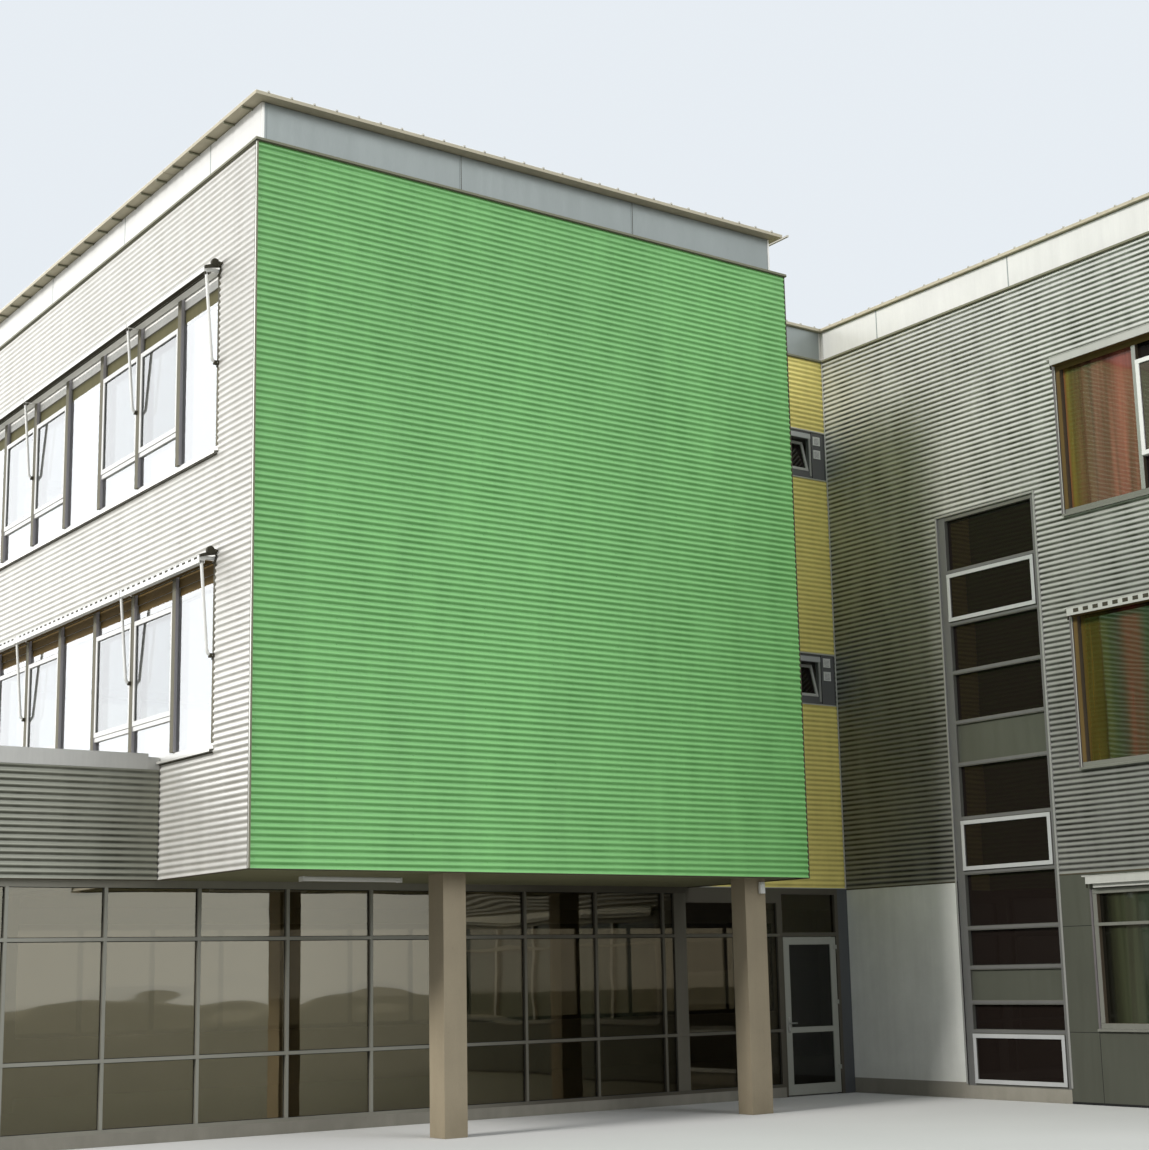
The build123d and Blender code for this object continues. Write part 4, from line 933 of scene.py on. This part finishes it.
def glazing_bars(bars, gaskets, panes, edges, level, sashes, head, place):
    """Caps over the posts and rails of a ribbon window, sash rings with their panes, and gaskets.
    The posts take the first material, the sashes the second and the foot rail the third."""
    low, high = min(edges), max(edges)
    bottom, top = level
    upright = (bottom + RIM, top)
    for edge in edges[1:-1]:
        bars.bar(*place(about(edge, POST_CAP), SKIN, upright), 0.003)
    for u in ((low, low + RIM_CAP), (high - RIM_CAP, high)):
        bars.bar(*place(u, SKIN, upright), 0.003)
    bars.bar(*place((low, high), SKIN, (bottom, bottom + RIM_CAP)), 0.003, 2)
    for n, bay in enumerate(bays(edges)):
        pane_z = (bottom + RIM, top - head)
        if n in sashes:
            sash = (bottom + 0.52, bottom + 1.84)
            bars.ring(place, grown(bay, 0.001), (0.0005, 0.031), grown(sash, 0.001), 0.062, 0.003, 1)
            u, z = grown(bay, -0.06), grown(sash, -0.06)
            panes.bar(*place(grown(u, 0.004), (0.004, 0.010), grown(z, 0.004)), 0.0005)
            gaskets.ring(place, u, (0.010, 0.014), z, 0.006)
            bars.bar(*place(bay, (-0.054, 0.001), (sash[0] - 0.004, sash[0] + 0.001)), 0.0005, 1)
            pane_z = (bottom + RIM, sash[0])
        gaskets.ring(place, bay, (-0.06, -0.054), pane_z, 0.009)


def left_windows():
    """The left wall's ribbon windows, with broad post caps, outer panes and a rail under each sash."""
    bars, gaskets, panes, sills, heads = Bars(), Bars(), Bars(), Bars(), Bars()
    half, face, outer = 0.05, -0.016, (0.026, 0.032)
    sashes = opening_sashes(LEFT_EDGES)
    for storey, (bottom, top) in enumerate(BANDS):
        foot = bottom + RIM
        # Broad caps on the posts, each with a plate on the side in view, painted light as the post's lit
        # side.
        for edge in LEFT_EDGES[1:-1]:
            side = edge - half
            bars.bar((face, 0.012), about(edge, half), (foot, top), 0.003)
            bars.bar((face + 0.003, 0.025), (side - 0.002, side + 0.001), (foot, top), 0.0005, 3)
        glazing_bars(bars, gaskets, panes, LEFT_EDGES, (bottom, top), sashes, 0.33, on_left)
        sill(sills, 0.0, -1, LEFT_EDGES, bottom, 0.015)
        # A dark strip under the sill, its painted shadow.
        sills.bar((-0.006, 0.03), grown((LEFT_EDGES[0], LEFT_EDGES[-1]), 0.01),
                  (bottom - 0.05, bottom - 0.034), 0.002, 1)
        # In each bay a head rail and the panel under it, painted reflection of the awning's shaded underside
        # in brown downstairs and olive upstairs, where the rail is white, and the outer pane, and a rail
        # under a sash.
        head, rail = top - (0.329 if storey else 0.25), bottom + 0.46
        for n, bay in enumerate(bays(LEFT_EDGES)):
            heads.bar((0.035, 0.045), bay, (top - 0.138, top - 0.002), 0.004, 0 if storey else 1)
            heads.bar((0.050, 0.060), bay, (head, top - 0.141), 0.003, 1 + storey)
            if not storey:
                panes.bar(outer, bay, (top - 0.329, head - 0.001), 0.0005, 1)
            panes.bar(outer, bay, (foot, rail if n in sashes else top - 0.33), 0.0005, 1)
            if n in sashes:
                bars.bar((0.0, 0.04), bay, (rail, rail + 0.056), 0.003, 1)
    bars.make("left_window_caps", [LEFT_CAP, LEFT_SASH, LEFT_RAIL, LEFT_REVEAL], "window_alu")
    gaskets.make("left_window_gaskets", [GASKET], "dark_panel")
    panes.make("left_sash_panes", [SASH_GLASS, SKY_GLASS], "glass")
    sills.make("left_sills", [STRIP, TRIM_AND_SHADE], "window_alu")
    heads.make("left_window_heads", [HEAD_WHITE, HEAD_SHADE_BROWN, HEAD_REFLECTION_OLIVE], "awning_white")


def court_windows():
    """The court wall's windows: caps, sills, head panels in painted shade, curtained panes and jambs, with
    the jambs of the stair window."""
    bars, gaskets, panes, sills = Bars(), Bars(), Bars(), Bars()
    heads, jambs, curtains = Bars(), Bars(), Bars()
    low, high = min(WING_EDGES), max(WING_EDGES)
    sashes = opening_sashes(WING_EDGES)
    curtain, back = (-0.0595, -0.0562), WING_L + 0.02
    for n, (bottom, top) in enumerate(BANDS):
        glazing_bars(bars, gaskets, panes, WING_EDGES, (bottom, top), sashes, 0.09, on_court)
        sill(sills, WING_L, -1, WING_EDGES, bottom)
        # A head panel and a strip beside the jamb, both painted shade in dark brown.
        heads.bar((WING_L + 0.004, back), (low, high), (top - 0.13, top - 0.001), 0.003)
        heads.bar((WING_L + 0.010, back), (high - 0.069, high - 0.0015), (bottom + RIM, top - 0.13), 0.003)
        for y in ((high - 0.002, high + 0.05), (low - 0.05, low + 0.002)):
            jambs.bar((WING_L - 0.008, back), y, (bottom - 0.01, top + 0.02), 0.003)
        jambs.bar((WING_L - 0.012, WING_L - 0.008), (high - 0.002, high + 0.008), (bottom - 0.01, top),
                  0.001, 1)
        u = (WING_EDGES[1] + 0.025, high - 0.058)
        curtains.bar(*on_court(u, curtain, (bottom + 0.06, top - 0.08)), 0.0005, n)

    # The window on the ground floor, which has a transom and no sashes.
    bottom, top = GROUND
    curtains.bar(*on_court(grown((low, high), -0.058), curtain, grown(GROUND, -0.06)), 0.0005, 2)
    for edge in WING_EDGES[1:-1]:
        bars.bar(*on_court(about(edge, POST_CAP), SKIN, grown(GROUND, -RIM)), 0.003)
    for z, depth in (((bottom, bottom + RIM_CAP), SKIN), ((top - RIM_CAP, top), SKIN),
                     ((2.31, 2.352), (0.008, 0.012))):
        bars.bar(*on_court((low, high), depth, z), 0.003, 2)
    for u in ((low, low + RIM_CAP), (high - RIM_CAP, high)):
        bars.bar(*on_court(u, SKIN, grown(GROUND, -RIM)), 0.003, 2)
    sill(sills, WING_L, -1, WING_EDGES, bottom)
    for y in ((high - 0.002, high + 0.03), (low - 0.03, low + 0.002)):
        jambs.bar((WING_L - 0.006, back), y, (bottom - 0.01, top), 0.003)

    # Jambs and head of the stair window.
    x, z = (WING_L - 0.01, WING_L + 0.03), (0.2, STAIR_HEAD + 0.03)
    jambs.bar(x, (STAIR_FAR, STAIR_FAR + 0.03), z, 0.003, 2)
    jambs.bar(x, (STAIR_NEAR - 0.03, STAIR_NEAR), z, 0.003, 2)
    jambs.bar((WING_L - 0.012, x[1]), (STAIR_NEAR, STAIR_FAR), (STAIR_HEAD, STAIR_HEAD + 0.03), 0.003, 2)
    bars.make("court_window_caps", [COURT_CAP, WHITE_BAR, COURT_RAIL], "window_alu")
    gaskets.make("court_window_gaskets", [GASKET], "dark_panel")
    panes.make("court_sash_panes", [COURT_GLASS], "glass")
    curtains.make("curtained_panes", [GREEN_CURTAIN, RED_CURTAIN, ROOM_PANE], "glass")
    sills.make("court_sills", [COURT_RAIL], "window_alu")
    heads.make("court_window_heads", [HEAD_SHADE_BROWN], "dark_panel")
    jambs.make("court_jambs", [JAMB, STRIP, COURT_CAP], "window_alu")


def outer_windows():
    """Caps, gaskets and sills of the rear and right ribbon windows, which have no opening sashes."""
    bars, gaskets, sills = Bars(), Bars(), Bars()
    for edges, place, face, along_y in ((REAR_EDGES, on_rear, MAIN_B, False),
                                        (RIGHT_EDGES, on_right, MAIN_W, True)):
        for level in (GROUND, *BANDS):
            glazing_bars(bars, gaskets, None, edges, level, (), 0.09, place)
            sill(sills, face, 1, edges, level[0], along_y=along_y)
    bars.make("outer_window_caps", [COURT_CAP, WHITE_BAR, COURT_RAIL], "window_alu")
    gaskets.make("outer_window_gaskets", [GASKET], "dark_panel")
    sills.make("outer_sills", [STRIP], "window_alu")


def stair_window():
    """Light sash rings with their panes, rail caps and gaskets of the tall window."""
    bars, gaskets, panes = Bars(), Bars(), Bars()
    # The panes' run between the near and the far post.
    near, far = STAIR_NEAR + 0.06, STAIR_FAR - 0.14
    span, height, cap = (near, far), (STAIR_FOOT, STAIR_HEAD), (0, 0.006)
    rails = [0.92, 1.32, 1.80, 2.35, 3.13, 3.90, 4.68, 5.29, 6.02, 6.74, 7.51]
    for z in rails:
        bars.bar(*on_court(span, cap, about(z, 0.02)), 0.003)
    bars.bar(*on_court((far, far + 0.138), cap, height), 0.004)
    bars.bar(*on_court((STAIR_NEAR, near), cap, height), 0.004)
    bounds = [STAIR_FOOT + 0.06, *rails, STAIR_HEAD - 0.06]
    for field in zip(bounds[:-1], bounds[1:]):
        gaskets.ring(on_court, span, (-0.06, -0.054), grown(field, -0.03), 0.009)
    for sash in ((STAIR_FOOT, 0.92), (3.13, 3.90), (6.74, 7.51)):
        z = grown(sash, -0.03)
        bars.ring(on_court, grown(span, -0.001), (0.025, 0.032), grown(z, -0.001), 0.057, 0.003, 1)
        panes.bar(*on_court(grown(span, -0.056), (0.002, 0.008), grown(z, -0.056)), 0.0005)
    bars.make("stair_window_caps", [STAIR_CAP, SASH_GREY], "window_alu")
    gaskets.make("stair_window_gaskets", [GASKET], "dark_panel")
    panes.make("stair_sash_panes", [STAIR_GLASS], "glass")


# Awnings, foot panels, window units and terrace
def rounded(points, radius):
    """The path with each corner turned into an arc of short steps."""
    steps = 5
    path = [points[0]]
    for before, corner, after in zip(points[:-2], points[1:-1], points[2:]):
        to, on = (before - corner).normalized(), (after - corner).normalized()
        start, end = corner + to * radius, corner + on * radius
        for n in range(steps + 1):
            t = n / steps
            path.append(start.lerp(corner, t).lerp(corner.lerp(end, t), t))
    return path + [points[-1]]


def tubes(name, paths, radius, material):
    """Round bars along paths in plan coordinates."""
    curve = bpy.data.curves.new(name, "CURVE")
    curve.dimensions = "3D"
    curve.bevel_depth = radius
    curve.bevel_resolution = 2
    curve.use_fill_caps = True
    for path in paths:
        spline = curve.splines.new("POLY")
        spline.points.add(len(path) - 1)
        for point, place in zip(spline.points, path):
            point.co = (*(place + ORIGIN), 1.0)
    mesh = flattened(placed(name, curve))
    mesh.materials.clear()
    mesh.materials.append(material)
    for face in mesh.polygons:
        face.use_smooth = len(face.vertices) == 4
    return piece(name, mesh)


def disc(x, z, radius):
    """Corners of a round plate that faces along the left wall."""
    turns = [math.tau * n / 14 for n in range(14)]
    return [(x + radius * math.cos(turn), z + radius * math.sin(turn)) for turn in turns]


def slots(bars, x, start, end, length, z):
    """A row of dark slots in an awning's face."""
    while start + length < end:
        bars.bar(x, (start, start + length), z, 0.0005)
        start += 0.165


def awning_gear(dark, top):
    """The castings at the near end of a storey's awnings: two wheels, a crank plate, a pin and a hook."""
    edge, z = LEFT_EDGES[0], top + 0.09
    y = (edge - 0.035, edge - 0.002)
    dark.section(disc(-0.075, z + 0.012, 0.048), 1, y[0] - 0.012, y[1])
    dark.section(disc(-0.028, z - 0.004, 0.030), 1, y[0] - 0.024, y[1] - 0.004)
    dark.section([(0.0, z - 0.03), (-0.2, z - 0.075), (-0.2, z - 0.045), (-0.02, z + 0.02), (0.0, z + 0.03)],
                 1, *y)
    dark.bar((-0.03, 0.0), (y[0] - 0.05, y[1]), about(z, 0.012), 0.004)
    dark.section([(-0.01, z - 0.09), (-0.035, z - 0.14), (-0.02, z - 0.15), (0.004, z - 0.1), (0.004, z)],
                 1, *y)


def left_awnings(dark, light):
    """Round arms with knuckles, and slots and boards on the bars, the boards dark as painted shade, with a
    pale board upstairs.
    """
    arms = []
    for storey, (bottom, top) in enumerate(BANDS):
        for first, last in ((0, 2), (2, 5), (5, 8)):
            near, far = LEFT_EDGES[first], LEFT_EDGES[last] - 0.02
            y, foot, under = near + 0.016, bottom + 1.07, top - 0.02
            bends = ((0.021, y, foot), (-0.04, y, foot), (-0.08, y, foot + 0.04), (-0.165, y, under - 0.0015))
            arms.append(rounded([Vector(c) for c in bends], 0.026))
            # Knuckles at the arm's foot and tip, and a dark line under the bar, a painted shadow.
            dark.bar((-0.012, 0.012), about(y, 0.022), (foot - 0.045, foot + 0.03), 0.004)
            dark.bar((-0.055, -0.012), about(y, 0.021), (foot - 0.024, foot + 0.022), 0.006)
            dark.bar((-0.187, -0.143), (y - 0.018, y + 0.022), (under - 0.035, under), 0.006)
            dark.bar((-0.196, -0.134), (near + 0.03, far - 0.03), (under - 0.003, under), 0.001)
            # Boards between the bar and the wall: the outer one dark and the inner one brown downstairs, as
            # painted shade.
            run, board = (near + 0.02, far - 0.02), (under + 0.002, under + 0.008)
            split = -0.10 if storey else -0.135
            dark.bar((-0.136, split), run, board, 0.001)
            (light if storey else dark).bar((split, -0.001), run, board, 0.001, 1)
            if not storey:
                light.bar((-0.202, -0.13), (near, far), (under - 0.034, under), 0.003)
                slots(dark, (-0.202, -0.2), near + 0.06, far, 0.08, (under + 0.024, under + 0.048))
            light.bar((-0.206, -0.2), (near, far), (under + 0.062, under + 0.07), 0.001)
        awning_gear(dark, top)
    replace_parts(tubes("awning_arm_tubes", arms, 0.0195, TUBE), "awning_arms")


def court_awnings(dark, light):
    """Slotted faces, lips and end hooks of the boxes over the court windows, with dark plates of painted
    shade under the upper two.
    """
    low, high = min(WING_EDGES), max(WING_EDGES)
    face = WING_L - 0.11
    for level, (bottom, top) in enumerate(((2.86, 2.97), (6.48, 6.60), (10.04, 10.16))):
        if level == 1:
            slots(dark, (face - 0.0015, face), low + 0.05, high, 0.09, (bottom + 0.032, top - 0.033))
        # Under the two upper boxes a dark plate, painted shade.
        if level:
            dark.bar((face + 0.01, WING_L - 0.006), (low + 0.01, high - 0.01), (bottom - 0.003, bottom),
                     0.001, 1)
        light.bar((face - 0.006, face), (low, high), (top - 0.008, top), 0.001)
        light.bar((face - 0.004, face), (low, high), (bottom, bottom + 0.006), 0.001)
        light.bar((WING_L - 0.06, WING_L), (high, high + 0.10), (top - 0.012, top + 0.006), 0.002)
        hook = [(face + 0.02, bottom - 0.05), (face + 0.045, bottom - 0.05), (face + 0.045, bottom + 0.05),
                (WING_L, bottom + 0.05), (WING_L, bottom + 0.075), (face + 0.02, bottom + 0.075)]
        dark.section(hook, 1, high, high + 0.012)


def awnings():
    """The awnings' small parts of both walls, in two pieces."""
    dark, light = Bars(), Bars()
    left_awnings(dark, light)
    court_awnings(dark, light)
    dark.make("awning_gears_slots_and_shade", [CASTING_AND_SHADE, HEAD_SHADE_BROWN], "dark_trim")
    light.make("awning_lips", [AWNING, HEAD_WHITE], "awning_white")


def base_joints():
    """Joints between the grey panels at the wing's foot, and the dark strip along the ground."""
    dark = Bars()
    x, half = (WING_L - 0.0012, WING_L), 0.004
    near, window = STAIR_NEAR - 0.031, max(WING_EDGES) + 0.03
    for z in (0.93, 2.32):
        dark.bar(x, (window, near), about(z, half), 0.0004)
    dark.bar(x, (window - 0.01, window - 0.002), (0.02, 0.96), 0.0004)
    dark.course([(x, about(y, half)) for y in WING_EDGES[1:]], (0.02, 0.95), 0.0004)
    dark.bar(x, about(-9.2, half), (0.02, 3.0), 0.0004)
    dark.bar((WING_L - 0.004, WING_L), (WING_F + 0.05, STAIR_NEAR), (0.0, 0.03), 0.001)
    dark.make("base_panel_joints", [GASKET], "dark_trim")


def yellow_units():
    """Rails, square vents with slats, and seams of the window units in the yellow wall."""
    face = BOX_D + 0.02
    rails, vents = Bars(), Bars()
    vent, side = 0.145, 0.018
    # The left edge of a unit's two vents, and their foot and head.
    places = ((11.0, ((6.44, 6.58), (6.23, 6.37))), (10.99, ((10.02, 10.16), (9.80, 9.94))))
    for (low, high), (left, levels) in zip(UNITS, places):
        rails.bar((UNIT_L, WING_L), (face - 0.022, face), (high - 0.022, high), 0.003)
        rails.bar((UNIT_L, WING_L), (face - 0.03, face), (low, low + 0.018), 0.003)
        rails.bar((UNIT_L + 0.03, 10.935), (face - 0.014, face), (high - 0.141, high - 0.06), 0.003, 2)
        rails.bar((10.897, 10.935), (face - 0.010, face), (low + 0.06, high - 0.141), 0.003, 3)
        rails.bar((10.945, 10.956), (face - 0.006, face), (low + 0.03, high - 0.03), 0.002, 1)
        for foot, head in levels:
            vents.ring(on_link, (left, left + vent), (0.0, 0.012), (foot, head), side, 0.002)
            for n in range(5):
                z = foot + 0.024 + 0.02 * n
                slat = [(face - 0.010, z), (face - 0.008, z), (face, z + 0.016), (face - 0.002, z + 0.016)]
                vents.section(slat, 0, left + side, left + vent - side)
    rails.make("yellow_unit_rails", [STRIP, GASKET, SASH_GREY, COURT_CAP], "cap_light")
    vents.make("yellow_unit_vents", [WHITE_BAR], "awning_white")


def terrace_details():
    """Caps on the terrace front's posts and rails, gaskets and lamps."""
    caps, gaskets, lamps = Bars(), Bars(), Bars()
    face = BOX_D - 0.02
    skin, upright = (face - 0.004, face), (0.19, 2.93)
    posts = [0.6 + 1.178 * n for n in range(-4, 7)]
    left, right, broad, last = -5.29, 9.845, 7.97, 8.9925
    caps.course([(about(x, 0.02), skin) for x in (*posts, last)], upright)
    caps.bar(about(broad, 0.108), skin, upright, 0.002)
    for z in (0.95, 2.33):
        caps.bar((left, right), (face - 0.007, face - 0.004), about(z, 0.02), 0.001)
    edges = [left + 0.022, *posts, broad, last, right - 0.022]
    for a, b in zip(edges[:-1], edges[1:]):
        bay = (a + (0.11 if a == broad else 0.022), b - (0.11 if b == broad else 0.022))
        for z in ((0.184, 0.928), (0.972, 2.308), (2.352, 2.93)):
            gaskets.ring(on_link, bay, (0.0, 0.005), z, 0.007)
    caps.make("terrace_caps", [TERRACE_CAP], "window_alu")
    gaskets.make("terrace_gaskets", [GASKET], "dark_panel")

    lamps.bar((1.35, 2.65), (1.30, 1.40), (COVER - 0.055, COVER), 0.012)
    for x in ((1.33, 1.35), (2.65, 2.67)):
        lamps.bar(x, (1.29, 1.41), (COVER - 0.06, COVER), 0.004)
    lamps.bar((7.52, 7.60), (0.250, 0.33), (2.82, 2.94), 0.02)
    lamps.bar((7.53, 7.59), (0.262, 0.318), (2.94, 2.97), 0.01)
    lamps.make("terrace_lamps", [WHITE_BAR], "awning_white")


folded_trims()
fascia_details()
roof_details()
left_windows()
court_windows()
outer_windows()
stair_window()
awnings()
base_joints()
yellow_units()
terrace_details()


# Light, floor and camera
def backdrop():
    """A sky that lights the building softly, and a brighter one that the camera and mirrors see."""
    world = bpy.data.worlds.new("studio")
    world.use_nodes = True
    nodes, links = world.node_tree.nodes, world.node_tree.links
    nodes.clear()
    mixed = nodes.new("ShaderNodeMixShader")
    for n, (colour, strength) in enumerate((((0.93, 0.96, 1.0), 0.55), ((0.80, 0.85, 0.90), 1.0))):
        sky = nodes.new("ShaderNodeBackground")
        sky.inputs[0].default_value = (*colour, 1)
        sky.inputs[1].default_value = strength
        links.new(sky.outputs[0], mixed.inputs[n + 1])
    path = nodes.new("ShaderNodeLightPath")
    either = nodes.new("ShaderNodeMath")
    either.operation = "MAXIMUM"
    links.new(path.outputs["Is Camera Ray"], either.inputs[0])
    links.new(path.outputs["Is Glossy Ray"], either.inputs[1])
    links.new(either.outputs[0], mixed.inputs[0])
    links.new(mixed.outputs[0], nodes.new("ShaderNodeOutputWorld").inputs[0])
    bpy.context.scene.world = world


def aimed(obj, way):
    """Turns a light so that it shines along a vector."""
    obj.rotation_euler = Vector(way).to_track_quat("-Z", "Y").to_euler()


def sun(name, way, energy, spread, colour):
    """A sun lamp that shines along a vector, as wide as its spread in degrees."""
    light = bpy.data.lights.new(name, "SUN")
    light.energy = energy
    light.angle = math.radians(spread)
    light.color = colour
    aimed(placed(name, light), way)


def studio():
    """Sky, sun, softbox and floor."""
    bpy.context.scene.view_settings.view_transform = "Standard"
    backdrop()
    sun("key", (3.13, 0.29, -1.9), 2.6, 14, (1.0, 0.98, 0.94))
    sun("fill", (-0.35, 1.0, -0.55), 1.2, 45, (0.97, 0.99, 1.0))
    panel = bpy.data.lights.new("softbox", "AREA")
    panel.shape = "RECTANGLE"
    panel.size, panel.size_y = 46.0, 34.0
    panel.energy = 12000.0
    box, place = placed("softbox", panel), Vector((-20.0, 46.0, 17.0))
    box.location = place + ORIGIN
    aimed(box, Vector((0, 4, 7)) - place)
    box.visible_camera = False
    box.visible_transmission = False

    ground = Finish("studio floor")
    rays = ground.nodes.new("ShaderNodeLightPath").outputs
    pale = ground.tone((0.62, 0.62, 0.61), [(ground.noise(0.3, 2), 0.03)])
    bounced = ground.mix(rays["Is Glossy Ray"], (0.36, 0.36, 0.34), (0.17, 0.17, 0.13))
    ground.set(Base_Color=ground.mix(rays["Is Camera Ray"], bounced, pale), Roughness=0.9)
    ground.relief(ground.noise(14.0, 3), 0.004, 0.3)
    size, level = 160.0, -0.002
    corners = [(x * size, y * size, level) for x, y in ((-1, -1), (1, -1), (1, 1), (-1, 1))]
    placed("floor", mesh_of("floor", corners, [[0, 1, 2, 3]], [ground.done()]))


def photo_camera():
    """The photograph's viewpoint, fitted to the building's corners."""
    place = Vector((-9.07296, -18.76467, 1.81917)) + ORIGIN
    yaw, pitch, roll = -0.62555, 0.1872, -0.02074
    focal, centre = 1889.416, (579.996, 616.476)
    width, height, film = 1149.0, 1150.0, 36.0
    forward = Vector((-math.sin(yaw) * math.cos(pitch), math.cos(yaw) * math.cos(pitch), math.sin(pitch)))
    side = Vector((math.cos(yaw), math.sin(yaw), 0))
    top = side.cross(forward)
    right = side * math.cos(roll) + top * math.sin(roll)
    up = top * math.cos(roll) - side * math.sin(roll)
    data = bpy.data.cameras.new("camera")
    data.sensor_fit = "HORIZONTAL"
    data.sensor_width = film
    data.lens = focal / width * film
    data.shift_x = (width / 2 - centre[0]) / width
    data.shift_y = (centre[1] - height / 2) / width
    data.clip_end = 500.0
    camera = placed("camera", data)
    camera.matrix_world = Matrix((
        (right.x, up.x, -forward.x, place.x), (right.y, up.y, -forward.y, place.y),
        (right.z, up.z, -forward.z, place.z), (0, 0, 0, 1)))
    bpy.context.scene.camera = camera


studio()
photo_camera()
